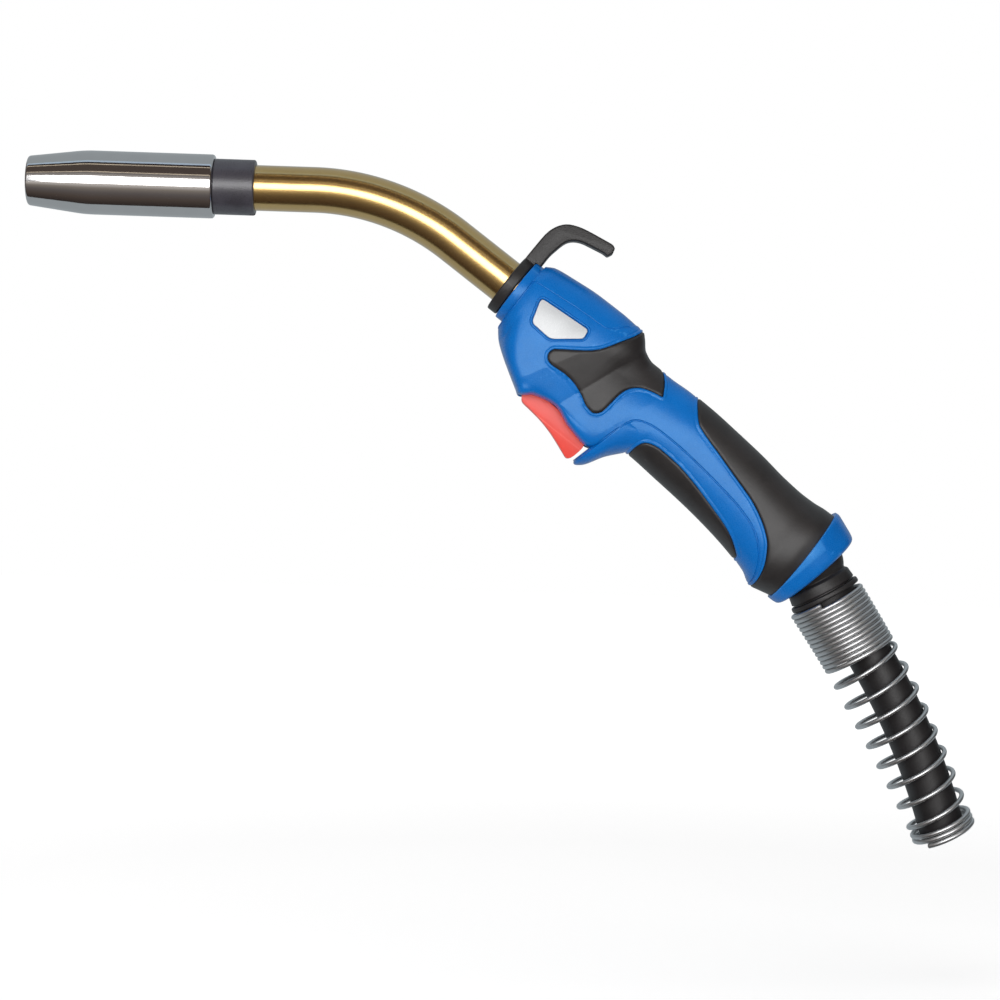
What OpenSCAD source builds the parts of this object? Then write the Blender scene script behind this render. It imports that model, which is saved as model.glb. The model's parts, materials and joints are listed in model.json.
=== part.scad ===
// MIG welding torch: a bent neck with a gas nozzle, a handle of two moulded shells with soft grip
// pads, and a ball joint at the rear that carries a rubber sleeve in a bend spring.
// Row frame: the nozzle points towards -X, Z is up, Y runs across the torch. The origin is the
// middle of the hand grip. Handle frame: U runs from the front face of the handle to its rear,
// V runs up through its top, and both lie in the plane Y = 0.

/* [Handle] */
// Slope of the handle below the nozzle axis
handle_tilt = 36.4; // [34:0.2:38]
// Wall of the moulded shells
shell_wall = 2.6; // [2.2:0.1:2.8]
// Depth of the pockets that hold the grip pads
pad_depth = 1.6; // [1.2:0.1:1.8]
// Height of the grip pads above the shell
pad_rise = 0.3; // [0.2:0.1:0.5]
// Height of the finger guard below the handle axis
guard_drop = 44.5; // [43:0.5:45]

/* [Neck] */
// Outer diameter of the neck tube
neck_d = 20; // [19.6:0.1:20]
// Radius of the neck's bend along its centre line
neck_bend_r = 105; // [100:1:110]
// Distance from the handle's face to the corner of the neck's centre line
neck_corner = 69; // [67:0.5:71]
// Distance from that corner to the nozzle's mouth
neck_reach = 160; // [158:1:164]

/* [Nozzle] */
// Outer diameter of the gas nozzle
nozzle_d = 28; // [27:0.5:29]
// Length of the gas nozzle
nozzle_l = 82.2; // [81.6:0.2:83.6]
// Outer diameter of the nozzle's mouth
mouth_d = 21.5; // [21:0.1:22]
// Inner diameter of the nozzle's mouth
mouth_bore_d = 18; // [17.6:0.1:18.4]

/* [Trigger] */
// Width of the trigger
trigger_w = 15.6; // [14:0.2:16]
// Clearance on each side of the trigger
trigger_gap = 0.5; // [0.4:0.1:0.8]

/* [Rear joint] */
// Radius of the ball
ball_r = 15.2; // [15:0.1:15.3]
// Slope of the ball seat below the handle axis
seat_tilt = 11; // [10:0.5:12]
// Slope of the sleeve below the handle axis as drawn
sleeve_tilt = 24.2; // [22:0.2:25]

/* [Bend spring] */
// Diameter of the wire
wire_d = 2; // [1.8:0.1:2]
// Close turns at the ball joint
close_turns = 11.5; // [9.5:1:11.5]
// Open turns
open_turns = 7.625; // [6.625:1:7.625]
// Close turns at the cable end
end_turns = 4; // [2:1:4]
// Pitch of the close turns
close_pitch = 2.5; // [2.5:0.05:2.55]
// Pitch of the open turns
open_pitch = 10.15; // [9.5:0.05:10.2]

/* [Hidden] */

LEFT = -1;
RIGHT = 1;
// How far, in degrees, and how much thinner a bend reaches into the straight bar that it joins
lap = 0.3;
hair = 0.02;

// Middle of the hand grip in the handle frame
grip = [110, -8];

// Stations of the handle from front to rear. Each is a plane section given by
// [U at its bottom, U at its top, bottom V, top V, half width, V of the widest point, squareness].
// The slanted ones give the cheek its flat facet.
handle_stations = [
    [4, 4, -18, 16.2, 15.8, -1, 2.2],
    [8, 8, -23.3, 18.3, 17.2, -2, 2.3],
    [14, 18, -28, 19.7, 18.6, -3, 2.4],
    [20, 31, -31.7, 20.8, 19.5, -4, 2.5],
    [27, 44, -35.9, 20.9, 20.3, -6, 2.7],
    [35, 51, -32.4, 20.2, 20.3, -6, 2.7],
    [45, 57, -31.5, 18.4, 20.2, -6, 2.7],
    [56, 62, -33.6, 13.4, 18.8, -7, 2.6],
    [66, 68, -35.4, 11.5, 17.4, -8, 2.5],
    [76, 78, -29.5, 11.5, 16.5, -8, 2.4],
    [84, 88, -26.2, 12, 16.2, -8, 2.4],
    [100, 100, -27.2, 11.8, 16.3, -8, 2.4],
    [115, 115, -28.3, 10.8, 16.8, -9, 2.4],
    [130, 130, -30, 9.5, 17.4, -10, 2.4],
    [145, 145, -32.6, 7.6, 18.3, -12, 2.4],
    [155, 155, -35.3, 7, 19.6, -13.5, 2.4],
    [161, 161, -38.2, 7.2, 20.8, -15, 2.4],
    [166, 166, -37.2, 7.8, 21.2, -15, 2.4],
    [170, 170, -36.2, 8, 20.6, -14.5, 2.4]];
// Stations of the finger guard, in the same form
guard_stations = [
    [66.2, 74, 1.2 - guard_drop, -12, 13.5, -24, 2.6],
    [67.6, 75.5, -guard_drop, -10, 17.6, -20, 2.4],
    [70.4, 77, 1.8 - guard_drop, -9.6, 17.4, -20, 2.4],
    [76, 81, -33.8, -9.6, 16.6, -18, 2.4],
    [82, 86, -26.6, -9.6, 15.2, -16, 2.4]];
section_points = 28;
rear_face = 170;
rim_r = 14.9;
rim_l = 4.6;

// Outlines of the grip pads in side view
front_pad_outline = [[55, 22.5], [75.1, 14.6], [79, 3.8], [76.1, 1], [68.7, -1.6], [64.8, -7.1],
    [63.6, -15.9], [59.9, -22.4], [52, -19.9], [41.2, -16.9], [31.8, -17.2], [28.9, -13.6],
    [33.8, -8], [41.2, -2.8], [48.1, 5.2]];
back_pad_outline = [[92.4, 12.6], [95.3, 6.7], [100.3, 1.8], [109.1, -1.2], [120.9, -4.7],
    [133.8, -8.5], [144.6, -13], [153.5, -19.4], [158.9, -27.8], [161.3, -39.6], [161.3, -46.5],
    [174.1, -46.5], [174.1, 18.5], [92.4, 18.5]];
palm_pad_outline = [[83.5, -30.7], [83.8, -22.3], [87, -17.7], [94.4, -16.5], [107.2, -17.7],
    [120.9, -21.1], [134.7, -24.9], [142.6, -29.7], [147, -34.6], [147, -45.5], [83.5, -45.5]];
badge_outline = [[13.6, 3.2], [35.3, 4.4], [36.9, 1.5], [25.9, -8.6], [16.1, -9.1], [12.6, 1.7]];
badge_skew = 3.4;
badge_y = -17.9;
badge_t = 0.8;

// Places of the handle screws, as [U, V, Y of the seat under the head]
screws = [[22, -24, 12], [46, 14.4, 10.4], [78, -20, 9], [140, -21.4, 12.4]];
screw_r = 1.5;
screw_head_r = 2.9;
screw_end = -8;
boss_r = 3.2;

// Trigger, switch and the spring between them
pivot = [32.5, -29];
pivot_r = 1.5;
pivot_half = 10;
slot_half = trigger_w / 2 + trigger_gap;
switch_front = 44;
switch_rear = 64;
switch_top = -10;
switch_bottom = -20;
switch_w = 6.4;
switch_pins = [[48.5, -13.5], [59.5, -13.5]];
plunger = [56, -23.2];
plunger_r = 1.5;
plunger_l = 6.5;
spring_u = 41;
spring_top = -22.5;
spring_bottom = -32.5;

// Neck and its contents
neck_r = neck_d / 2;
neck_wall = 1.5;
insulation_r = neck_r - neck_wall;
inner_tube_r = insulation_r - 1;
gas_bore_r = 4.2;
liner_r = 2.5;
fit_gap = 0.05;
corner_cut = neck_bend_r * tan(handle_tilt / 2);
neck_rear = 28;

// Stations along the nozzle axis, counted from the neck's corner towards the mouth
nozzle_rear = neck_reach - nozzle_l;
insulator_rear = nozzle_rear - 17.4;
tube_front = insulator_rear + 3;
holder_rear = insulator_rear + 11;
spigot_front = nozzle_rear + 19;
diffuser_front = spigot_front + 20;
holder_front = diffuser_front + 14;
tip_front = neck_reach - 4;
taper_rear = neck_reach - 25;
nozzle_r = nozzle_d / 2;
nozzle_bore_r = 11;
spigot_r = nozzle_bore_r - fit_gap;
insulator_r = 12.2;
clip_at = nozzle_rear + 7.8;
clip_wire_r = 0.6;

// Rear ball joint
ball_at = [176, -15];
ball_gap = 0.3;
seat_r = ball_r + 0.4;
lip_at = 4.2;
collar_rear = 4.65;
spigot_end = -11.8;
seat_front = -10.5;
seat_rear = -4.5;
sleeve_start = 16.2;
sleeve_neck_r = 13.7;
bead_r = 16.3;
bead_l = 3.8;

// Rubber sleeve inside the spring: one arc, then a straight end
core_r = 10;
core_bore_r = 7;
core_front = -12;
core_crown = 47;
core_rise = 5.7;
core_arc_r = 300;
core_arc_end = 106;
core_end_l = 12;

// Bend spring
rings_per_turn = 12;
wire_sides = 6;
coil_r = 15.7;
coil_end_r = 13.6;
coil_bow = 1.5;
first_turn = 0.25;
turns = close_turns + open_turns + end_turns;
corner_out = 2 / (1 + cos(180 / rings_per_turn));

// ---- Frames ----

module in_handle() {
    rotate([0, handle_tilt, 0]) translate([-grip[0], 0, -grip[1]]) children();
}

// Z of the children points along the nozzle axis, towards the mouth, from the neck's corner
module on_nozzle_axis() {
    in_handle() translate([-neck_corner, 0, 0]) rotate([0, -90 - handle_tilt, 0]) children();
}

// X of the children points to the rear of the ball joint, from the ball's centre
module at_ball(tilt) {
    in_handle() translate([ball_at[0], 0, ball_at[1]]) rotate([0, tilt, 0]) children();
}

// X of the children runs along the sleeve from the rear face of its bead
module on_sleeve() {
    at_ball(sleeve_tilt) translate([sleeve_start, 0, 0]) children();
}

module along_x() {
    rotate([0, 90, 0]) children();
}

// Profile in side view, drawn as [U, V], given a width across the torch
module side_plate(width) {
    rotate([90, 0, 0]) translate([0, 0, -width / 2]) linear_extrude(width) children();
}

module across(u, v) {
    translate([u, 0, v]) rotate([90, 0, 0]) children();
}

// ---- Curves and lofts ----

function spline_point(a, b, c, d, t) =
    0.5 * (2 * b + (c - a) * t + (2 * a - 5 * b + 4 * c - d) * t * t
        + (3 * b - a - 3 * c + d) * t * t * t);

// Closed curve through a list of points
function closed_spline(p, steps) = let (n = len(p)) [for (i = [0:n - 1], k = [0:steps - 1])
    spline_point(p[(i + n - 1) % n], p[i], p[(i + 1) % n], p[(i + 2) % n], k / steps)];

// Outline with each corner rounded over a length of cut on both its sides
function round_corners(p, cut, steps) = let (n = len(p)) [for (i = [0:n - 1])
    let (b = p[i], a = p[(i + n - 1) % n], c = p[(i + 1) % n],
        e = b + min(cut, norm(a - b) / 2.1) * (a - b) / norm(a - b),
        f = b + min(cut, norm(c - b) / 2.1) * (c - b) / norm(c - b))
    for (k = [0:steps]) let (s = k / steps) (1 - s) * (1 - s) * e + 2 * s * (1 - s) * b + s * s * f];

function power(x, e) = sign(x) * pow(abs(x), e);

// Ring of points of one station, grown outwards by grow
function section(s, grow) = [for (k = [0:section_points - 1])
    let (angle = -360 * k / section_points,
        y = (s[4] + grow) * power(cos(angle), 2 / s[6]),
        reach = (sin(angle) > 0 ? s[3] - s[5] : s[5] - s[2]) + grow,
        v = s[5] + reach * power(sin(angle), 2 / s[6]),
        u = s[0] + (s[1] - s[0]) * (v - s[2]) / (s[3] - s[2]))
    [u, y, v]];

// Closed solid through rings that have the same number of points
module loft(rings) {
    n = len(rings[0]);
    last = len(rings) - 1;
    points = [for (ring = rings) each ring];
    sides = [for (i = [0:last - 1], j = [0:n - 1]) let (a = i * n + j, b = i * n + (j + 1) % n)
        each [[a, b, b + n], [a, b + n, a + n]]];
    caps = [[for (j = [n - 1:-1:0]) j], [for (j = [0:n - 1]) last * n + j]];
    polyhedron(points, concat(sides, caps));
}

module handle_form(grow) {
    loft([for (s = handle_stations) section(s, grow)]);
}

module guard_form() {
    loft([for (s = guard_stations) section(s, 0)]);
}

// Half of the space on one side of the parting line
module half_space(side) {
    translate([-20, side == LEFT ? -60 : 0, -80]) cube([220, 60, 140]);
}

// Tube that follows the neck's centre line, from u behind the handle's face to s on the nozzle axis
module neck_run(outer_r, inner_r, u, s) {
    difference() {
        neck_bar(outer_r, u, s);
        neck_bar(inner_r, u + 1, s + 1);
    }
}

// The bend is a hair thinner than the straight bars and reaches a little into both
module neck_bar(radius, u, s) {
    in_handle() translate([corner_cut - neck_corner, 0, 0]) along_x()
        cylinder(r = radius, h = neck_corner - corner_cut + u, $fn = 64);
    in_handle() translate([corner_cut - neck_corner, 0, -neck_bend_r]) rotate([90, 0, 0])
        rotate([0, 0, 90 - lap]) rotate_extrude(angle = handle_tilt + 2 * lap, $fn = 96)
            translate([neck_bend_r, 0]) circle(r = radius - hair, $fn = 64);
    on_nozzle_axis() translate([0, 0, corner_cut]) cylinder(r = radius, h = s - corner_cut, $fn = 64);
}

// ---- Handle shells ----

module rear_socket() {
    translate([ball_at[0], 0, ball_at[1]]) rotate([0, seat_tilt, 0])
        translate([spigot_end - 5, 0, 0]) along_x() cylinder(r = seat_r + 1.35, h = 34, $fn = 48);
}

module cavity() {
    intersection() {
        handle_form(-shell_wall);
        translate([7, -40, -60]) cube([rear_face - 12, 80, 100]);
    }
}

module pad_pocket(outline) {
    difference() {
        side_plate(80) polygon(outline);
        handle_form(-pad_depth);
    }
}

module badge_place(depth) {
    translate([12, badge_y, 0]) rotate([0, 0, -badge_skew]) translate([-12, 0, 0])
        rotate([90, 0, 0]) linear_extrude(depth) children();
}

module shell_posts() {
    for (s = screws) across(s[0], s[1]) cylinder(r = boss_r, h = 60, center = true, $fn = 24);
    for (p = switch_pins) across(p[0], p[1]) cylinder(r = 1.2, h = 60, center = true, $fn = 16);
    for (side = [LEFT, RIGHT]) across(pivot[0], pivot[1])
        translate([0, 0, side == LEFT ? slot_half : -slot_half - 10])
            cylinder(r = 3.6, h = 10, $fn = 24);
    for (u = [12, 24]) translate([u, -30, -16]) cube([2, 60, 32]);
    translate([36, -30, spring_top]) cube([7.2, 60, 1.8]);
}

module shell_cuts(side) {
    translate([-1, 0, 0]) along_x() cylinder(r = neck_r + 0.05, h = 34, $fn = 64);
    rear_socket();
    translate([29.3, -slot_half, -37.9]) cube([37.9, 2 * slot_half, 13.9]);
    for (outline = [closed_spline(front_pad_outline, 3), back_pad_outline, palm_pad_outline])
        pad_pocket(outline);
    for (s = screws) across(s[0], s[1]) cylinder(r = screw_r + 0.06, h = 60, center = true, $fn = 20);
    across(pivot[0], pivot[1])
        cylinder(r = pivot_r + 0.06, h = 2 * pivot_half + 0.2, center = true, $fn = 20);
    if (side == RIGHT) for (s = screws) translate([s[0], s[2], s[1]]) rotate([-90, 0, 0])
        cylinder(r = screw_head_r + 0.3, h = 20, $fn = 24);
    if (side == LEFT) badge_place(20) polygon(round_corners(badge_outline, 2.2, 3));
}

module handle_shell(side) {
    in_handle() resize([0, 0, 0]) intersection() {
        half_space(side);
        difference() {
            union() {
                difference() {
                    union() {
                        handle_form(0);
                        guard_form();
                        along_x() cylinder(r = rim_r, h = rim_l, $fn = 48);
                    }
                    cavity();
                }
                intersection() {
                    handle_form(0.2 - shell_wall);
                    shell_posts();
                }
            }
            shell_cuts(side);
        }
    }
}

module grip_pad(outline, side) {
    color([0.17, 0.16, 0.16]) in_handle() resize([0, 0, 0]) intersection() {
        half_space(side);
        side_plate(80) polygon(outline);
        difference() {
            handle_form(pad_rise);
            handle_form(-pad_depth);
            rear_socket();
        }
    }
}

module handle_left_shell() {
    color([0.05, 0.35, 0.7]) handle_shell(LEFT);
}

module handle_right_shell() {
    color([0.05, 0.35, 0.7]) handle_shell(RIGHT);
}

module badge_plate() {
    color([0.86, 0.86, 0.87]) in_handle() badge_place(badge_t)
        polygon(round_corners([for (p = badge_outline) [p[0] * 0.985 + 0.35, p[1] * 0.97]], 2.2, 3));
}

module handle_screws() {
    color([0.6, 0.6, 0.62]) in_handle() for (s = screws) translate([s[0], s[2], s[1]])
        rotate([-90, 0, 0]) difference() {
            union() {
                translate([0, 0, screw_end - s[2]])
                    cylinder(r = screw_r, h = s[2] - screw_end, $fn = 32);
                cylinder(r = screw_head_r, h = 1.6, $fn = 32);
                translate([0, 0, 1.6])
                    cylinder(r1 = screw_head_r, r2 = screw_head_r - 0.8, h = 0.6, $fn = 32);
            }
            translate([0, 0, 0.9]) cylinder(r = 1.3, h = 2, $fn = 6);
        }
}

// ---- Trigger and switch ----

trigger_outline = [[30.2, -34], [33.5, -31.6], [38, -30.1], [46, -30], [56, -31.6], [65, -33.4],
    [66, -36.4], [65.9, -38.2], [65, -42.8], [63.4, -44.8], [57, -42.3], [51, -40.1], [44, -38.4],
    [37, -37.6], [32.2, -37.2]];

module trigger() {
    color([0.95, 0.32, 0.27]) in_handle() difference() {
        union() {
            intersection() {
                side_plate(trigger_w) polygon(round_corners(trigger_outline, 1.4, 2));
                translate([25, 0, 0]) rotate([90, 0, 90]) linear_extrude(45) polygon(round_corners(
                    [[-trigger_w / 2, -20], [-trigger_w / 2, -38], [-5, -46], [5, -46],
                    [trigger_w / 2, -38], [trigger_w / 2, -20]], 4, 4));
            }
            side_plate(trigger_w) polygon([[30.2, -33.4], [30, -30], [31, -27], [34, -27], [35.3, -30],
                [36, -32.6], [33, -33.6]]);
            side_plate(6) polygon([[49, -32], [52, -23.5], [60, -23.5], [62, -34.4]]);
        }
        across(pivot[0], pivot[1]) cylinder(r = pivot_r + fit_gap, h = 40, center = true, $fn = 48);
        translate([spring_u, 0, spring_bottom]) cylinder(r = 3.5, h = 10, $fn = 32);
    }
}

module trigger_pin() {
    color([0.7, 0.7, 0.72]) in_handle() across(pivot[0], pivot[1])
        cylinder(r = pivot_r, h = 2 * pivot_half, center = true, $fn = 48);
}

// Coil of wire through rings whose centres are given by points, with X across each ring's plane
module wire_tube(centres, sides_of_wire, radius) {
    n = len(centres);
    loft([for (i = [0:n - 1])
        let (back = centres[max(i - 1, 0)], ahead = centres[min(i + 1, n - 1)],
            along = (ahead - back) / norm(ahead - back),
            flat = cross(along, cross([1, 0, 0], along)),
            side = flat / norm(flat), up = cross(along, side))
        [for (k = [0:sides_of_wire - 1]) let (a = -360 * k / sides_of_wire)
            centres[i] + radius * (cos(a) * side + sin(a) * up)]]);
}

// Least distance between points of a coil that lie at least half a turn apart, less the wire
function coil_gap(c, half, wire) =
    min([for (i = [0:len(c) - 1]) for (j = [i + half:1:len(c) - 1]) norm(c[i] - c[j])]) - wire;

return_turns = 6;
return_pitch = 1.5;
return_coil = [for (i = [0:return_turns * rings_per_turn]) let (a = 360 * i / rings_per_turn)
    [0.45 + return_pitch * i / rings_per_turn, 2.4 * cos(a), 2.4 * sin(a)]];

module trigger_spring() {
    color([0.75, 0.75, 0.77]) in_handle() translate([spring_u, 0, spring_bottom]) rotate([0, -90, 0])
        wire_tube(return_coil, wire_sides, 0.4);
}

module micro_switch() {
    color([0.12, 0.12, 0.13]) in_handle() difference() {
        union() {
            translate([switch_front, -switch_w / 2, switch_bottom])
                cube([switch_rear - switch_front, switch_w, switch_top - switch_bottom]);
            for (y = [-1.6, 1.2]) translate([switch_rear, y, -17]) cube([5.5, 0.4, 4.8]);
        }
        for (p = switch_pins) across(p[0], p[1]) cylinder(r = 1.3, h = 20, center = true, $fn = 32);
        translate([plunger[0], 0, switch_bottom - 1])
            cylinder(r = plunger_r + fit_gap, h = 7.4, $fn = 48);
    }
}

module switch_plunger() {
    color([0.8, 0.2, 0.15]) in_handle() translate([plunger[0], 0, plunger[1]])
        cylinder(r = plunger_r, h = plunger_l, $fn = 48);
}

// ---- Neck ----

module neck_outer_tube() {
    color([0.74, 0.58, 0.28]) neck_run(neck_r, insulation_r, neck_rear, tube_front);
}

module neck_insulation() {
    color([0.92, 0.9, 0.84]) neck_run(insulation_r, inner_tube_r, neck_rear + 2, tube_front + 2);
}

module neck_inner_tube() {
    color([0.78, 0.5, 0.32]) neck_run(inner_tube_r, gas_bore_r, neck_rear + 12, holder_rear);
}

module wire_liner() {
    color([0.3, 0.45, 0.75]) neck_run(liner_r, 1.1, 64, spigot_front + 14);
}

// Hexagon nut on the inner tube, with the stud that the cable screws on
module neck_connector() {
    color([0.76, 0.62, 0.3]) in_handle() translate([neck_rear + 6, 0, 0]) along_x() difference() {
        union() {
            rotate(30) cylinder(r = 10.3, h = 12, $fn = 6);
            translate([0, 0, 10]) cylinder(r = 6, h = 18, $fn = 48);
        }
        translate([0, 0, -1]) cylinder(r = inner_tube_r, h = 7, $fn = 64);
        translate([0, 0, 5]) cylinder(r = gas_bore_r, h = 17, $fn = 48);
        translate([0, 0, 21]) cylinder(r = liner_r + fit_gap, h = 10, $fn = 48);
    }
}

// Split ring that holds the tube between two ribs of the shells
module neck_clamp() {
    color([0.55, 0.56, 0.58]) in_handle() translate([14, 0, 0]) along_x() rotate(15)
        rotate_extrude(angle = 330, $fn = 96) translate([neck_r, 0]) square([3, 10]);
}

// Ring on the neck with an arm that curls back over the front of the handle
module hook() {
    color([0.15, 0.15, 0.16]) in_handle() difference() {
        union() {
            translate([-5.3, 0, 0]) along_x() cylinder(r = 14, h = 4.9, $fn = 64);
            side_plate(9) polygon([[-5.3, 0], [-5, 16], [-4.8, 28], [-3, 33], [0, 36.5], [5, 38.7],
                [10, 39.8], [20, 41.2], [22.5, 40.5], [23.2, 38.6], [22.4, 36.6], [20, 36], [10, 34],
                [7, 32.5], [5, 30.5], [3.9, 28], [2.6, 21], [1.7, 17.4], [-0.4, 15.3], [-0.4, 0]]);
        }
        translate([-10, 0, 0]) along_x() cylinder(r = neck_r + 0.08, h = 20, $fn = 64);
    }
}

// ---- Nozzle end ----

module gas_nozzle() {
    color([0.82, 0.83, 0.85]) on_nozzle_axis() rotate_extrude($fn = 96) polygon([
        [nozzle_bore_r, nozzle_rear + 0.1], [nozzle_r - 0.8, nozzle_rear + 0.1],
        [nozzle_r - 0.2, nozzle_rear + 0.4], [nozzle_r, nozzle_rear + 1], [nozzle_r, taper_rear],
        [mouth_d / 2, neck_reach], [mouth_bore_d / 2, neck_reach], [mouth_bore_d / 2, neck_reach - 7],
        [nozzle_bore_r, taper_rear]]);
}

module nozzle_insulator() {
    color([0.22, 0.21, 0.25]) on_nozzle_axis() difference() {
        rotate_extrude($fn = 96) polygon([
            [neck_r, insulator_rear], [insulator_r - 0.8, insulator_rear],
            [insulator_r, insulator_rear + 0.8], [insulator_r, nozzle_rear], [spigot_r, nozzle_rear],
            [spigot_r, clip_at - 0.8], [spigot_r - 1.25, clip_at - 0.8],
            [spigot_r - 1.25, clip_at + 0.8], [spigot_r, clip_at + 0.8], [spigot_r, spigot_front - 1],
            [spigot_r - 1, spigot_front], [7, spigot_front], [7, holder_rear],
            [inner_tube_r, holder_rear], [inner_tube_r, tube_front + 2],
            [insulation_r, tube_front + 2], [insulation_r, tube_front], [neck_r, tube_front]]);
        translate([-insulator_r - 1, -2, insulator_rear - 1]) cube([2.2, 4, 3.4]);
    }
}

// Open ring of spring wire in the insulator's groove, which grips the nozzle
module nozzle_retaining_spring() {
    color([0.7, 0.7, 0.73]) on_nozzle_axis() translate([0, 0, clip_at]) rotate(20)
        rotate_extrude(angle = 320, $fn = 96) translate([spigot_r - 0.65, 0])
            circle(r = clip_wire_r, $fn = 24);
}

module tip_holder() {
    color([0.76, 0.6, 0.28]) on_nozzle_axis() difference() {
        union() {
            translate([0, 0, holder_rear]) cylinder(r = 7, h = diffuser_front - holder_rear, $fn = 64);
            translate([0, 0, diffuser_front]) cylinder(r = 7.4, h = 6, $fn = 6);
            translate([0, 0, diffuser_front + 6]) cylinder(r = 6.3, h = 8, $fn = 64);
        }
        translate([0, 0, holder_rear - 1])
            cylinder(r = gas_bore_r, h = spigot_front + 6 - holder_rear, $fn = 48);
        translate([0, 0, spigot_front]) cylinder(r = liner_r + fit_gap, h = 14, $fn = 48);
        translate([0, 0, spigot_front + 10]) cylinder(r = 1, h = 20, $fn = 32);
        translate([0, 0, holder_front - 12]) cylinder(r = 4, h = 13, $fn = 48);
        for (a = [0:60:300]) rotate(a) translate([0, 0, spigot_front + 3]) along_x()
            translate([0, 0, 3]) cylinder(r = 1.2, h = 6, $fn = 24);
    }
}

module gas_diffuser() {
    color([0.9, 0.87, 0.8]) on_nozzle_axis() difference() {
        rotate_extrude($fn = 96) polygon([[7, spigot_front], [10, spigot_front],
            [10, diffuser_front - 1], [9, diffuser_front], [7, diffuser_front],
            [7, diffuser_front - 2], [8.6, diffuser_front - 3], [8.6, spigot_front + 2],
            [7, spigot_front + 1.4]]);
        for (a = [22.5:45:360]) rotate(a) translate([0, 0, spigot_front + 11]) along_x()
            translate([0, 0, 6]) cylinder(r = 1.4, h = 6, $fn = 24);
    }
}

module contact_tip() {
    color([0.8, 0.5, 0.33]) on_nozzle_axis() difference() {
        union() {
            translate([0, 0, holder_front - 11]) cylinder(r = 4 - fit_gap, h = 11, $fn = 48);
            rotate_extrude($fn = 64) polygon([[0, holder_front], [4.6, holder_front],
                [5, holder_front + 0.4], [5, tip_front - 8], [3.2, tip_front - 0.4],
                [2.8, tip_front], [0, tip_front]]);
        }
        translate([0, 0, holder_front - 12]) cylinder(r = 0.7, h = 60, $fn = 24);
        for (side = [LEFT, RIGHT]) translate([-6, side * 6 - 2, holder_front + 3]) cube([12, 4, 6]);
    }
}

// ---- Rear ball joint ----

module rear_collar() {
    color([0.05, 0.35, 0.7]) difference() {
        union() {
            at_ball(seat_tilt) translate([spigot_end, 0, 0]) along_x()
                cylinder(r = seat_r + 1.2, h = collar_rear - 0.6 - spigot_end, $fn = 96);
            difference() {
                at_ball(seat_tilt) along_x() rotate_extrude($fn = 96) polygon([[0, -9.6], [23.7, -9.6],
                    [24.2, -8], [22.9, -0.4], [22.4, 2.2], [21.7, 3.8], [20.1, collar_rear],
                    [0, collar_rear]]);
                in_handle() translate([rear_face - 60, -60, -80]) cube([60, 120, 140]);
            }
        }
        at_ball(seat_tilt) {
            sphere(r = ball_r + ball_gap, $fn = 96);
            translate([seat_front - 0.1, 0, 0]) along_x()
                cylinder(r = seat_r, h = 0.1 - seat_front, $fn = 96);
            translate([spigot_end - 1, 0, 0]) along_x() cylinder(r = seat_r - 1.4, h = 10, $fn = 64);
            translate([lip_at, 0, 0]) along_x() cylinder(
                r1 = sqrt(pow(ball_r + ball_gap, 2) - lip_at * lip_at), r2 = 17.6, h = 1.5, $fn = 96);
        }
    }
}

module ball_seat() {
    hollow = ball_r + ball_gap;
    color([0.3, 0.3, 0.32]) at_ball(seat_tilt) along_x() rotate_extrude($fn = 96) polygon(concat(
        [[seat_r - 0.08, seat_front], [seat_r - 0.08, seat_rear]],
        [for (i = [0:6]) let (x = seat_rear + (seat_front - seat_rear) * i / 6)
            [sqrt(hollow * hollow - x * x), x]]));
}

// Bar that follows the rubber sleeve's arc, from ahead degrees before its front, and its straight end
module core_bar(radius, ahead, beyond) {
    from = asin((core_arc_end - core_crown) / core_arc_r);
    to = asin((core_crown - core_front) / core_arc_r);
    translate([core_crown, 0, core_rise - core_arc_r]) rotate([90, 0, 0])
        rotate([0, 0, 90 - from - lap / 3])
            rotate_extrude(angle = from + to + lap / 3 + ahead, $fn = 96) translate([core_arc_r, 0])
                circle(r = radius - hair, $fn = 48);
    translate([core_arc_end, 0, core_rise - core_arc_r * (1 - cos(from))]) rotate([0, from, 0])
        along_x() cylinder(r = radius, h = core_end_l + beyond, $fn = 48);
}

module ball_sleeve() {
    color([0.16, 0.155, 0.155]) on_sleeve() difference() {
        union() {
            intersection() {
                translate([-sleeve_start, 0, 0]) sphere(r = ball_r, $fn = 96);
                translate([-sleeve_start - 11, 0, 0]) along_x() cylinder(r = 30, h = 24, $fn = 48);
            }
            along_x() rotate_extrude($fn = 96) polygon([[0, -12], [sleeve_neck_r - 0.6, -12],
                [sleeve_neck_r - 0.4, -9.5], [sleeve_neck_r, -bead_l - 0.4], [bead_r - 0.7, -bead_l],
                [bead_r, 0.7 - bead_l], [bead_r, -0.7], [bead_r - 0.7, 0], [13.8, 0], [13.8, 5.6],
                [13.2, 6.4], [0, 6.4]]);
        }
        translate([-sleeve_start - 12, 0, 0]) along_x()
            cylinder(r = 10.6, h = sleeve_start + 12 + core_front, $fn = 64);
        core_bar(core_r + hair, 0.4, 0);
    }
}

module cable_sleeve() {
    color([0.1, 0.1, 0.105]) on_sleeve() difference() {
        core_bar(core_r, 0, 0);
        core_bar(core_bore_r, 0.2, 1);
    }
}

// ---- Bend spring ----

// Distance along the sleeve after t turns
function coil_x(t) = wire_d / 2 + 0.1 + close_pitch * min(t, close_turns)
    + open_pitch * max(0, min(t - close_turns, open_turns))
    + close_pitch * max(0, t - close_turns - open_turns);

// Lean of the turns at x along the sleeve: none in the first close turns, most in the last ones
function coil_lean(x) = 0.075 * min(1, max(0, (x - 31) / 10)) + 0.05 * min(1, max(0, (x - 41) / 64));

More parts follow.
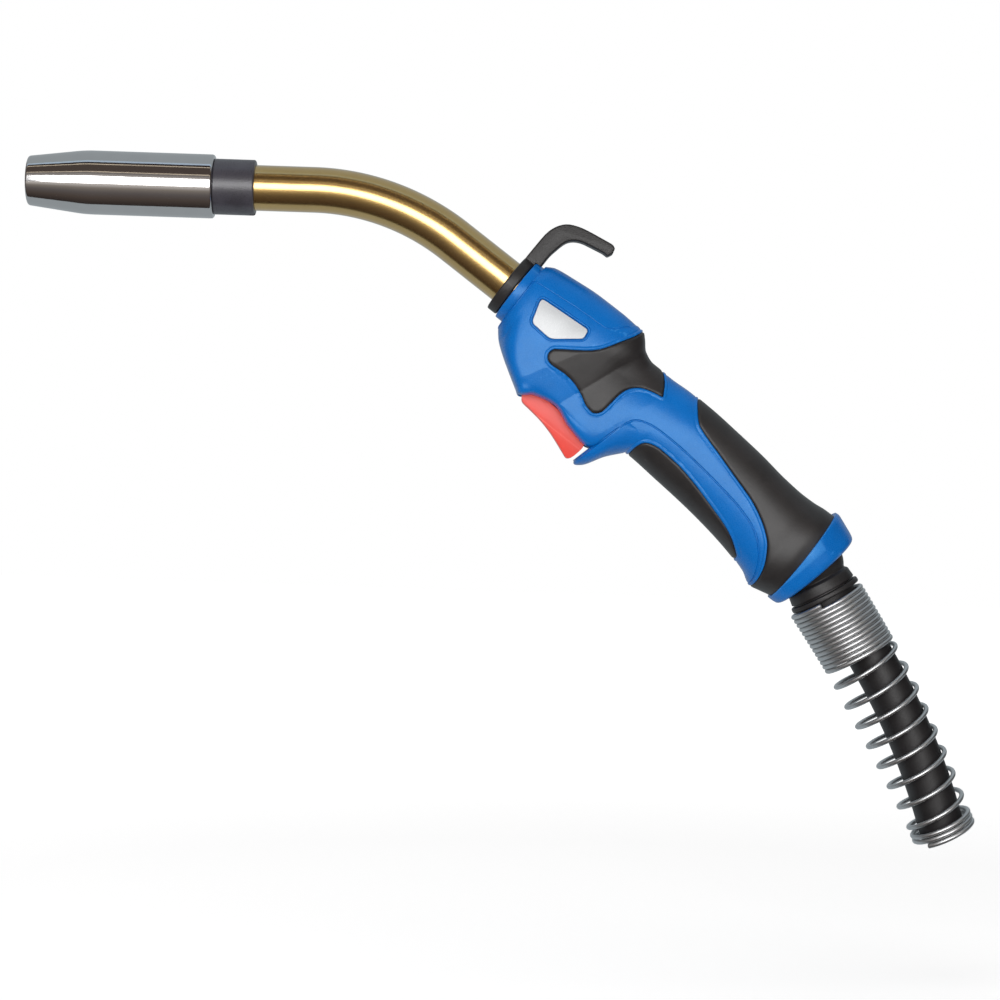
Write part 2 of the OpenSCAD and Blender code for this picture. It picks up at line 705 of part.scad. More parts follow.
// Centre of the wire after t turns: the coil narrows along its open turns and its axis is bowed.
// Its corners lie as far outside the round coil as the middles of its sides lie inside
function coil_point(t) =
    let (x = coil_x(t),
        r = (coil_r - (coil_r - coil_end_r) * min(1, max(0, (x - 50) / 60))) * corner_out,
        bow = coil_bow - 2.7 * pow((x - 45) / 65, 2),
        angle = 360 * (t + first_turn))
    [x + coil_lean(x) * r * cos(angle), -r * sin(angle), r * cos(angle) + bow];

bend_coil = [for (i = [0:turns * rings_per_turn]) coil_point(i / rings_per_turn)];
echo(least_gap_of_bend_spring = coil_gap(bend_coil, rings_per_turn / 2, wire_d));
echo(least_gap_of_trigger_spring = coil_gap(return_coil, rings_per_turn / 2, 0.8));

module bend_spring() {
    color([0.62, 0.63, 0.65]) on_sleeve() wire_tube(bend_coil, wire_sides, wire_d / 2);
}

// ---- Nodes ----

handle_left_shell();
handle_right_shell();
grip_pad(closed_spline(front_pad_outline, 3), LEFT);  // front_pad_left
grip_pad(closed_spline(front_pad_outline, 3), RIGHT);  // front_pad_right
grip_pad(back_pad_outline, LEFT);  // back_pad_left
grip_pad(back_pad_outline, RIGHT);  // back_pad_right
grip_pad(palm_pad_outline, LEFT);  // palm_pad_left
grip_pad(palm_pad_outline, RIGHT);  // palm_pad_right
badge_plate();
handle_screws();
trigger();
trigger_pin();
trigger_spring();
micro_switch();
switch_plunger();
neck_outer_tube();
neck_insulation();
neck_inner_tube();
wire_liner();
neck_connector();
neck_clamp();
hook();
gas_nozzle();
nozzle_insulator();
nozzle_retaining_spring();
tip_holder();
gas_diffuser();
contact_tip();
rear_collar();
ball_seat();
ball_sleeve();
cable_sleeve();
bend_spring();
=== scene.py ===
"""MIG welding torch: looks of the neck, nozzle, moulded handle, ball joint and bend spring.

Pieces are modelled in millimetres in the frame of the part that carries them, and are then put
into the row frame in metres: the nozzle points towards -X, Z is up and the left side faces -Y.
"""

from __future__ import annotations

import json
import logging
import math
from collections.abc import Callable, Sequence
from dataclasses import dataclass, field
from enum import Enum

import bmesh
import bpy
import numpy as np
from mathutils import Matrix, Vector

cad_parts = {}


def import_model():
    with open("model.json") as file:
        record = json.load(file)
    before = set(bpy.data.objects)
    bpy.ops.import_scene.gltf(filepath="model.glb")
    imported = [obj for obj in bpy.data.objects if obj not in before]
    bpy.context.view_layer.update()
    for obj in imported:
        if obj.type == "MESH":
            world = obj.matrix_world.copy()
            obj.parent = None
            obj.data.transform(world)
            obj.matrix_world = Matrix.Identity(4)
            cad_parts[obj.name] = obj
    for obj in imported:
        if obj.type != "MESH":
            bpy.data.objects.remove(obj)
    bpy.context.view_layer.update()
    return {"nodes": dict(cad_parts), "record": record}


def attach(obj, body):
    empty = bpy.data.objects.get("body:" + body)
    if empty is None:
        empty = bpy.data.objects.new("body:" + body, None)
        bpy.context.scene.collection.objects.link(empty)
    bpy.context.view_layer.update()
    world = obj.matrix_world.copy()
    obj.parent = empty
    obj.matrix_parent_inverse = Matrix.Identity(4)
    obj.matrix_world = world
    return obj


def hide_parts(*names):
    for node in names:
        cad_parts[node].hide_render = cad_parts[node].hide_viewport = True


LOG = logging.getLogger("torch")
MM = 0.001
Point = tuple[float, float]
Triple = tuple[float, float, float]
Station = tuple[float, float, float, float, float, float, float]
Piece = bpy.types.Object
Tree = bpy.types.NodeTree
Socket = bpy.types.NodeSocket
RAMP = ("From Min", "From Max", "To Min", "To Max")
Relief = Callable[[np.ndarray, np.ndarray, np.ndarray], np.ndarray]


class Side(Enum):
    """Half of the handle, by the sign of Y."""

    LEFT = -1
    RIGHT = 1


class Boolean(Enum):
    """What a cutter does to the piece that it meets."""

    CUT = "DIFFERENCE"
    KEEP = "INTERSECT"
    JOIN = "UNION"


# ---- Frames ----


def shift(x: float, y: float, z: float) -> Matrix:
    """Gives a shift along the three axes."""
    return Matrix.Translation((x, y, z))


def turned(degrees: float, axis: str = "Y") -> Matrix:
    """Gives a rotation about an axis."""
    return Matrix.Rotation(math.radians(degrees), 4, axis)


ALONG_X = turned(90.0)
ALONG_Y = turned(-90.0, "X")
SWAP_XY = Matrix(((0, 1, 0, 0), (1, 0, 0, 0), (0, 0, 1, 0), (0, 0, 0, 1)))


@dataclass(frozen=True)
class Frames:
    """Places of the torch's own frames."""

    handle_tilt: float = 36.4
    grip: Point = (110.0, -8.0)
    neck_corner: float = 69.0
    ball: Point = (176.0, -15.0)
    seat_tilt: float = 11.0
    sleeve_tilt: float = 24.2
    sleeve_start: float = 16.2

    def handle(self) -> Matrix:
        """Place of the handle frame, with U along its axis and V up through its top."""
        u, v = self.grip
        return Matrix.Scale(MM, 4) @ turned(self.handle_tilt) @ shift(-u, 0.0, -v)

    def nozzle(self) -> Matrix:
        """Place of the nozzle axis: Z runs from the neck's corner to the mouth."""
        turn = turned(-90.0 - self.handle_tilt)
        return self.handle() @ shift(-self.neck_corner, 0.0, 0.0) @ turn

    def at_ball(self, tilt: float) -> Matrix:
        """Place of the ball's centre in the handle frame, with X to the rear and tilted down."""
        return shift(self.ball[0], 0.0, self.ball[1]) @ turned(tilt)

    def sleeve(self) -> Matrix:
        """Place of the rubber sleeve, with X along it from the rear face of its bead."""
        return self.handle() @ self.at_ball(self.sleeve_tilt) @ shift(self.sleeve_start, 0.0, 0.0)


FRAMES = Frames()


# ---- Material nodes ----


def linear(hex_colour: str) -> tuple[float, float, float, float]:
    """Turns an sRGB hex colour into linear RGBA.

    Args:
        hex_colour: Six hex digits, with or without a leading hash.

    Returns:
        Linear red, green, blue and an alpha of one.
    """
    digits = hex_colour.lstrip("#")
    parts = [int(digits[i : i + 2], 16) / 255.0 for i in (0, 2, 4)]
    red, green, blue = (c / 12.92 if c <= 0.04045 else ((c + 0.055) / 1.055) ** 2.4 for c in parts)
    return (red, green, blue, 1.0)


def feed(node: bpy.types.Node, inputs: dict[str | int, object]) -> None:
    """Sets a node's inputs, and links those that come from a socket.

    Args:
        node: Node that is fed.
        inputs: Values or sockets by input name or number.
    """
    for key, value in inputs.items():
        if isinstance(value, Socket):
            node.id_data.links.new(value, node.inputs[key])
        else:
            node.inputs[key].default_value = value


def add_node(
    tree: Tree,
    kind: str,
    inputs: dict[str | int, object] | None = None,
    **settings: object,
) -> bpy.types.Node:
    """Adds one node.

    Args:
        tree: Node tree that gets the node.
        kind: Type name of the node, after its common start.
        inputs: Values, or sockets to link from, by input name or number.
        **settings: Properties of the node.

    Returns:
        The new node.
    """
    node = tree.nodes.new(f"ShaderNode{kind}")
    for name, value in settings.items():
        setattr(node, name, value)
    feed(node, inputs or {})
    return node


def noise(tree: Tree, place: Socket, size_mm: float, detail: float, rough: float) -> Socket:
    """Adds noise whose lumps have a size in millimetres."""
    inputs = {"Vector": place, "Scale": 1.0 / (size_mm * MM), "Detail": detail, "Roughness": rough}
    return add_node(tree, "TexNoise", inputs).outputs["Fac"]


def ramp(tree: Tree, value: Socket, start: Point, end: Point = (0.0, 1.0)) -> Socket:
    """Adds a straight, clamped map from one range to another."""
    inputs = {"Value": value, **dict(zip(RAMP, (*start, *end), strict=True))}
    return add_node(tree, "MapRange", inputs).outputs["Result"]


def blend(tree: Tree, share: Socket, low: object, high: object) -> Socket:
    """Adds a mix of two colours, each a socket or a linear colour."""
    inputs = {"Fac": share, "Color1": low, "Color2": high}
    return add_node(tree, "MixRGB", inputs).outputs["Color"]


def maths(tree: Tree, operation: str, a: Socket, b: Socket) -> Socket:
    """Adds a calculation with two values."""
    return add_node(tree, "Math", {0: a, 1: b}, operation=operation).outputs["Value"]


def bump(tree: Tree, height: Socket, depth_mm: float) -> Socket:
    """Adds a bump of a depth in millimetres."""
    inputs = {"Height": height, "Strength": 1.0, "Distance": depth_mm * MM}
    return add_node(tree, "Bump", inputs).outputs["Normal"]


def empty_tree(block: bpy.types.Material | bpy.types.World) -> Tree:
    """Turns on the nodes of a new material or world.

    Args:
        block: The material or world.

    Returns:
        Its node tree, with nothing in it.
    """
    block.use_nodes = True
    block.node_tree.nodes.clear()
    return block.node_tree


@dataclass(frozen=True)
class Finish:
    """Start of every finish: its name and its two mottled tones."""

    name: str
    colour: str
    shade: str

    def start(self) -> tuple[bpy.types.Material, Tree, bpy.types.Node, Socket]:
        """Makes the material with its Principled shader and object coordinates.

        Returns:
            The material, its node tree, its shader and the coordinates.
        """
        material = bpy.data.materials.new(self.name)
        tree = empty_tree(material)
        shader = add_node(tree, "BsdfPrincipled")
        add_node(tree, "OutputMaterial", {"Surface": shader.outputs["BSDF"]})
        return material, tree, shader, add_node(tree, "TexCoord").outputs["Object"]


@dataclass(frozen=True)
class MouldedPlastic(Finish):
    """Injection moulded plastic with a fine etched grain that the tool leaves on it."""

    # Lighter tone of the painted highlight on sharp convex edges
    edge_highlight_tone: str
    grain_mm: float
    grain_depth_mm: float
    roughness: float
    specular: float = 0.5
    tint: str = "#FFFFFF"

    def build(self) -> bpy.types.Material:
        """Makes the grained plastic, with a painted highlight on its sharp convex edges.

        Returns:
            The material.
        """
        material, tree, shader, place = self.start()
        grain = {"Vector": place, "Scale": 1.0 / (self.grain_mm * MM), "Smoothness": 0.6}
        cells = add_node(tree, "TexVoronoi", grain, feature="SMOOTH_F1")
        cloud = noise(tree, place, 14.0, 4.0, 0.6)
        speck = noise(tree, place, 0.35, 2.0, 0.7)
        spread = ramp(tree, cloud, (0.3, 0.62))
        tone = blend(tree, spread, linear(self.shade), linear(self.colour))
        # Painted edge highlight: a lighter tone on sharp convex edges, broken up by speckle
        edge = add_node(tree, "NewGeometry").outputs["Pointiness"]
        painted_edge_highlight = maths(tree, "MULTIPLY", ramp(tree, edge, (0.56, 0.68)), speck)
        gloss = (self.roughness - 0.05, self.roughness + 0.07)
        feed(
            shader,
            {
                "Base Color": blend(tree, painted_edge_highlight, tone, linear(self.edge_highlight_tone)),
                "Roughness": ramp(tree, speck, (0.3, 0.7), gloss),
                "Normal": bump(tree, cells.outputs["Distance"], self.grain_depth_mm),
                "IOR": 1.5,
                "Specular IOR Level": self.specular,
                "Specular Tint": linear(self.tint),
            },
        )
        return material


@dataclass(frozen=True)
class BareMetal(Finish):
    """Metal with the fine lines that turning, drawing or brushing leaves on it."""

    roughness: float
    line_mm: float = 0.12
    line_depth_mm: float = 0.004
    stretch: Triple = (0.02, 1.0, 1.0)
    coat: float = 0.0

    def build(self) -> bpy.types.Material:
        """Makes the metal with its lines and a slightly uneven gloss.

        Returns:
            The material.
        """
        material, tree, shader, place = self.start()
        along = add_node(tree, "Mapping", {"Vector": place, "Scale": self.stretch})
        lines = noise(tree, along.outputs["Vector"], self.line_mm, 3.0, 0.65)
        cloud = noise(tree, place, 9.0, 5.0, 0.6)
        gloss = (max(self.roughness - 0.04, 0.02), self.roughness + 0.05)
        feed(
            shader,
            {
                "Base Color": blend(tree, cloud, linear(self.shade), linear(self.colour)),
                "Roughness": ramp(tree, lines, (0.3, 0.7), gloss),
                "Normal": bump(tree, lines, self.line_depth_mm),
                "Metallic": 1.0,
                "Coat Weight": self.coat,
            },
        )
        return material


FINISHES = (
    # Glass-filled nylon, moulded in an etched tool: a satin blue with a fine leather grain
    MouldedPlastic(
        "blue_housing", "#0068BA", "#0062B2", "#3C8CD4", 0.55, 0.03, 0.27, tint="#C0ECFF"
    ),
    # Soft thermoplastic rubber moulded over the shell: dull, nearly black, slightly dusty
    MouldedPlastic("black_grip", "#2A2727", "#211F1F", "#4A4644", 0.6, 0.02, 0.42),
    # Polished acetal moulding: smooth coral red with soft edges
    MouldedPlastic("coral_trigger", "#EE4C40", "#E8453A", "#FF8377", 0.9, 0.008, 0.38),
    # Glass-filled nylon of hook and ball sleeve: charcoal with a coarse spark-eroded grain
    MouldedPlastic("black_plastic", "#272525", "#201E1E", "#4E4A49", 0.5, 0.05, 0.42, 0.42),
    # Moulded rubber of the cable sleeve: matt black
    MouldedPlastic("black_rubber", "#211F20", "#1A1819", "#3C3938", 0.8, 0.03, 0.42),
    # Phenolic fibre ring, turned and dark violet grey, with a dull mottled face
    MouldedPlastic("dark_insulator", "#3D3B43", "#2F2D34", "#5A5660", 0.4, 0.04, 0.3, 0.8),
    # PTFE and ceramic-filled insulation: white, waxy
    MouldedPlastic("white_insulation", "#E6E1D4", "#DAD3C4", "#F2EEE6", 0.7, 0.01, 0.4),
    # Drawn brass tube, polished and lacquered: warm gold with lines along the draw
    BareMetal("brass_neck", "#DDBB7A", "#D1AD69", 0.22, 0.2, 0.0012, (0.05, 1.0, 1.0), 1.0),
    # Turned brass of the inner fittings
    BareMetal("brass", "#C7A14A", "#B08C3C", 0.26),
    # Drawn copper-chromium of the contact tip and inner tube
    BareMetal("copper", "#C77B54", "#B36A46", 0.28),
    # Bright chromium plate on the turned copper nozzle: a clear mirror
    BareMetal("chrome_nozzle", "#D5D3D2", "#CBC9C9", 0.07, 0.3, 0.001, (0.03, 1.0, 1.0)),
    # Etched and lacquered aluminium plate: satin silver
    MouldedPlastic("silver_plate", "#C0C2C4", "#BABCBE", "#DADBDC", 0.3, 0.004, 0.24, 1.0),
    # Zinc plated spring wire and screws: bright grey with a dull bloom
    BareMetal("zinc_steel", "#DCDEDF", "#C9CBCD", 0.4, 0.5, 0.006, (1.0, 1.0, 1.0)),
)


# ---- Bench: modelling steps that several pieces share, in millimetres ----


def clear() -> None:
    """Leaves edit mode and deselects every object."""
    if bpy.context.object and bpy.context.object.mode != "OBJECT":
        bpy.ops.object.mode_set(mode="OBJECT")
    for thing in bpy.context.selected_objects:
        thing.select_set(False)


def take(piece: Piece) -> None:
    """Makes the piece the only selected and active one.

    Args:
        piece: Piece that is worked on next.
    """
    clear()
    piece.select_set(True)
    bpy.context.view_layer.objects.active = piece


def open_all(piece: Piece) -> None:
    """Opens a piece for editing with everything selected.

    Args:
        piece: Piece that is worked on next.
    """
    take(piece)
    bpy.ops.object.mode_set(mode="EDIT")
    bpy.ops.mesh.select_all(action="SELECT")


def extrude(x: float, y: float, z: float) -> None:
    """Extrudes what is selected."""
    bpy.ops.mesh.extrude_region_move(TRANSFORM_OT_translate={"value": (x, y, z)})


def tidy(piece: Piece, gap: float = 1e-4) -> None:
    """Merges doubled points and turns every face outwards.

    Args:
        piece: Closed piece.
        gap: Distance below which points merge.
    """
    open_all(piece)
    bpy.ops.mesh.remove_doubles(threshold=gap)
    bpy.ops.mesh.normals_make_consistent(inside=False)
    bpy.ops.object.mode_set(mode="OBJECT")


def added(name: str, operator: Callable[..., set[str]], **settings: object) -> Piece:
    """Adds a primitive mesh.

    Args:
        name: Name of the piece.
        operator: Blender's operator that adds it.
        **settings: Its settings. It stands at the origin if they don't place it.

    Returns:
        The piece.
    """
    clear()
    operator(**{"location": (0.0, 0.0, 0.0), **settings})
    piece = bpy.context.object
    piece.name = name
    return piece


def modify(piece: Piece, kind: str, **settings: object) -> None:
    """Applies a modifier to a piece.

    Args:
        piece: Piece that changes.
        kind: Kind of modifier.
        **settings: The modifier's settings.
    """
    take(piece)
    step = piece.modifiers.new("step", kind)
    for name, value in settings.items():
        setattr(step, name, value)
    bpy.ops.object.modifier_apply(modifier=step.name)


def lathe(name: str, profile: Sequence[Point], segments: int = 96) -> Piece:
    """Turns a closed profile about Z by extruding a ring from point to point.

    Args:
        name: Name of the piece.
        profile: Radius and height of each corner, in order round the wall.
        segments: Number of sides.

    Returns:
        The closed, bored solid.
    """
    radius, height = profile[0]
    circle = bpy.ops.mesh.primitive_circle_add
    piece = added(name, circle, vertices=segments, radius=radius, location=(0.0, 0.0, height))
    bpy.ops.object.transform_apply(location=True, rotation=False, scale=False)
    open_all(piece)
    for next_radius, next_height in [*profile[1:], profile[0]]:
        extrude(0.0, 0.0, next_height - height)
        scale = next_radius / radius
        bpy.ops.transform.resize(value=(scale, scale, 1.0), center_override=(0.0, 0.0, next_height))
        radius, height = next_radius, next_height
    tidy(piece)
    return piece


def prism(name: str, outline: Sequence[Point], low: float, high: float) -> Piece:
    """Extrudes an outline of the side view across the torch.

    Args:
        name: Name of the piece.
        outline: Corners as U and V.
        low: Y of one face.
        high: Y of the other face.

    Returns:
        The closed prism.
    """
    circle = bpy.ops.mesh.primitive_circle_add
    piece = added(name, circle, vertices=len(outline), radius=1.0, fill_type="NGON")
    for vertex, (u, v) in zip(piece.data.vertices, outline, strict=True):
        vertex.co = (u, low, v)
    open_all(piece)
    extrude(0.0, high - low, 0.0)
    tidy(piece)
    return piece


def bar(
    name: str, radius: float, start: Triple, length: float, turn: Matrix, sides: int = 96
) -> Piece:
    """Adds a round bar.

    Args:
        name: Name of the bar.
        radius: Its radius.
        start: Middle of its first face.
        length: Its length.
        turn: Rotation from Z to its direction.
        sides: Number of sides.

    Returns:
        The bar.
    """
    cylinder = bpy.ops.mesh.primitive_cylinder_add
    piece = added(name, cylinder, vertices=sides, radius=radius, depth=length)
    piece.data.transform(Matrix.Translation(start) @ turn @ shift(0.0, 0.0, length / 2.0))
    return piece


def block(name: str, low: Triple, high: Triple) -> Piece:
    """Adds a square block.

    Args:
        name: Name of the block.
        low: Its lowest corner.
        high: Its highest corner.

    Returns:
        The block.
    """
    piece = added(name, bpy.ops.mesh.primitive_cube_add, size=1.0)
    size = [b - a for a, b in zip(low, high, strict=True)]
    middle = [(a + b) / 2.0 for a, b in zip(low, high, strict=True)]
    piece.data.transform(Matrix.Translation(middle) @ Matrix.Diagonal((*size, 1.0)))
    return piece


def combine(piece: Piece, cutter: Piece, how: Boolean = Boolean.CUT) -> None:
    """Cuts, keeps or joins a piece with a cutter, which is used up.

    Args:
        piece: Piece that changes.
        cutter: The other solid.
        how: What is done.
    """
    modify(piece, "BOOLEAN", operation=how.value, solver="MANIFOLD", object=cutter)
    if not piece.data.polygons:
        LOG.warning("%s %s %s left nothing", piece.name, how.value, cutter.name)
    mesh = cutter.data
    bpy.data.objects.remove(cutter)
    bpy.data.meshes.remove(mesh)


def round_edges(piece: Piece, width: float, segments: int = 3, angle: float = 30.0) -> None:
    """Rounds the edges that turn by more than an angle in degrees."""
    least = math.radians(angle)
    modify(piece, "BEVEL", width=width, segments=segments, limit_method="ANGLE", angle_limit=least)


def sweep(
    name: str, radius: float, start: float, bend_r: float, runs: Triple, wall: float, sides: int
) -> Piece:
    """Sweeps a round tube along X, then down round a bend, then straight again.

    Args:
        name: Name of the piece.
        radius: Outer radius of the tube.
        start: X where the bend starts.
        bend_r: Radius of the bend, whose centre lies below.
        runs: Length before the bend, angle of the bend in degrees and length after it.
        wall: Thickness of the wall, or 0 for a solid bar.
        sides: Number of sides.

    Returns:
        The closed tube.
    """
    before, degrees, after = runs
    turn = math.radians(degrees)
    piece = added(
        name,
        bpy.ops.mesh.primitive_circle_add,
        vertices=sides,
        radius=radius,
        fill_type="NOTHING" if wall else "NGON",
        location=(start - before, 0.0, 0.0),
        rotation=(0.0, math.radians(90.0), 0.0),
    )
    bpy.ops.object.transform_apply(location=True, rotation=True, scale=False)
    open_all(piece)
    if before > 0.0:
        extrude(before, 0.0, 0.0)
    steps = max(8, int(degrees * 2.0))
    centre = (start, 0.0, -bend_r)
    bpy.ops.mesh.spin(steps=steps, angle=-turn, center=centre, axis=(0.0, 1.0, 0.0))
    if after > 0.0:
        extrude(after * math.cos(turn), 0.0, -after * math.sin(turn))
    tidy(piece)
    if wall:
        modify(piece, "SOLIDIFY", thickness=wall, offset=-1.0, use_even_offset=True)
        tidy(piece)
    return piece


def wire(name: str, points: Sequence[Triple], radius: float, sides: int) -> Piece:
    """Runs a round wire through points and turns it into a mesh.

    Args:
        name: Name of the piece.
        points: Centre line of the wire.
        radius: Radius of the wire.
        sides: Roundness: the wire has 4 + 2 times this many sides.

    Returns:
        The closed wire.
    """
    curve = bpy.data.curves.new(name, "CURVE")
    curve.dimensions = "3D"
    curve.bevel_depth = radius
    curve.bevel_resolution = sides
    curve.use_fill_caps = True
    curve.twist_mode = "MINIMUM"
    spline = curve.splines.new("POLY")
    spline.points.add(len(points) - 1)
    for target, place in zip(spline.points, points, strict=True):
        target.co = (*place, 1.0)
    piece = bpy.data.objects.new(name, curve)
    bpy.context.scene.collection.objects.link(piece)
    take(piece)
    bpy.ops.object.convert(target="MESH")
    piece = bpy.context.object
    tidy(piece, 1e-5)
    return piece


@dataclass
class Fitter:
    """Puts finished pieces into the row frame, dresses them and hands them to the frame."""

    finishes: dict[str, bpy.types.Material]
    count: int = 0

    def fit(
        self, piece: Piece, place: Matrix, body: str, slot: str, node: str, smooth: float = 40.0
    ) -> None:
        """Finishes one piece.

        Args:
            piece: Piece in millimetres, in its own frame.
            place: Its frame in the row frame.
            body: CAD body that it rides on.
            slot: Material slot and finish.
            node: CAD node that it stands for.
            smooth: Greatest angle that is shaded smoothly, in degrees.
        """
        piece.data.transform(place)
        piece.data.materials.clear()
        piece.data.materials.append(self.finishes[slot])
        take(piece)
        bpy.ops.object.shade_smooth_by_angle(angle=math.radians(smooth))
        clear()
        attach(piece, body)
        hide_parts(node)
        self.count += 1
        LOG.info("%s on %s: %d faces", piece.name, body, len(piece.data.polygons))

    def dress(self, node: Piece, slot: str) -> None:
        """Gives a CAD node that stays its finish.

        Args:
            node: The CAD node's object.
            slot: Its material slot.
        """
        if not node.material_slots:
            node.data.materials.append(self.finishes[slot])
        for held in node.material_slots:
            held.material = self.finishes[slot]


@dataclass
class Group:
    """Sub-assembly of the torch, which hands its pieces to a fitter."""

    fitter: Fitter


# ---- Curves and lofts ----


def pairs(points: Sequence[np.ndarray]) -> list[Point]:
    """Turns points into plain pairs of numbers."""
    return [(float(p[0]), float(p[1])) for p in points]


def run_smooth(points: Sequence[Point], steps: int, closed: bool = False) -> list[Point]:
    """Runs a smooth curve through points.

    Args:
        points: Points on the curve.
        steps: Points on each stretch.
        closed: True where the last point joins the first.

    Returns:
        The curve's points.
    """
    line = [np.array(p, float) for p in points]
    if closed:
        line = [line[-1], *line, line[0], line[1]]
    else:
        line = [2 * line[0] - line[1], *line, 2 * line[-1] - line[-2]]
    curve = []
    for a, b, c, d in zip(line[:-3], line[1:-2], line[2:-1], line[3:], strict=True):
        for t in (k / steps for k in range(steps)):
            square, cube = 2 * a - 5 * b + 4 * c - d, 3 * b - a - 3 * c + d
            curve.append(0.5 * (2 * b + (c - a) * t + square * t * t + cube * t**3))
    return pairs(curve if closed else [*curve, line[-2]])


def soften(corners: Sequence[Triple], steps: int = 5) -> list[Point]:
    """Rounds the corners of an outline, each by a length of its own.

    Args:
        corners: Both coordinates of each corner, and the length its rounding takes on both sides.
        steps: Steps of each rounding.

    Returns:
        The outline.
    """
    ring = [np.array(corner[:2], float) for corner in corners]
    curve = []
    for i, b in enumerate(ring):
        cut = corners[i][2]
        a, c = ring[i - 1], ring[(i + 1) % len(ring)]
        back, ahead = float(np.linalg.norm(a - b)), float(np.linalg.norm(c - b))
        e = b + min(cut, back / 2.1) * (a - b) / back
        f = b + min(cut, ahead / 2.1) * (c - b) / ahead
        for k in range(steps + 1) if cut > 0.0 else (0,):
            s = k / steps
            curve.append((1 - s) ** 2 * e + 2 * s * (1 - s) * b + s * s * f)
    return pairs(curve)


def line_distance(u: np.ndarray, v: np.ndarray, outline: Sequence[Point]) -> np.ndarray:
    """Measures the distance from points to a closed outline in side view.

    Args:
        u: Points' U.
        v: Points' V.
        outline: Corners of the outline.

    Returns:
        Distances; negative inside.
    """
    best = np.full(u.shape, 1e9)
    inside = np.zeros(u.shape, bool)
    corners = [*outline, outline[0]]
    for (ax, ay), (bx, by) in zip(corners[:-1], corners[1:], strict=True):
        dx, dy = bx - ax, by - ay
        span = dx * dx + dy * dy
        if span == 0.0:
            continue
        t = np.clip(((u - ax) * dx + (v - ay) * dy) / span, 0.0, 1.0)
        best = np.minimum(best, np.hypot(u - ax - t * dx, v - ay - t * dy))
        if ay != by:
            crosses = (ay > v) != (by > v)
            inside ^= crosses & (u < ax + (v - ay) * dx / dy)
    return np.where(inside, -best, best)


def rise(x: np.ndarray, start: float, length: float) -> np.ndarray:
    """Straight rise from 0 at start to 1 after a length, which may be negative."""
    return np.clip((x - start) / length, 0.0, 1.0)


def ease(x: np.ndarray) -> np.ndarray:
    """Smooth step from 0 at x = 0 to 1 at x = 1."""
    t = np.clip(x, 0.0, 1.0)
    return t * t * (3.0 - 2.0 * t)


def dome(x: np.ndarray) -> np.ndarray:
    """Quarter circle that rises from 0 at x = 0 to 1 at x = 1."""
    t = 1.0 - np.clip(x, 0.0, 1.0)
    return np.sqrt(np.clip(1.0 - t * t, 0.0, 1.0))


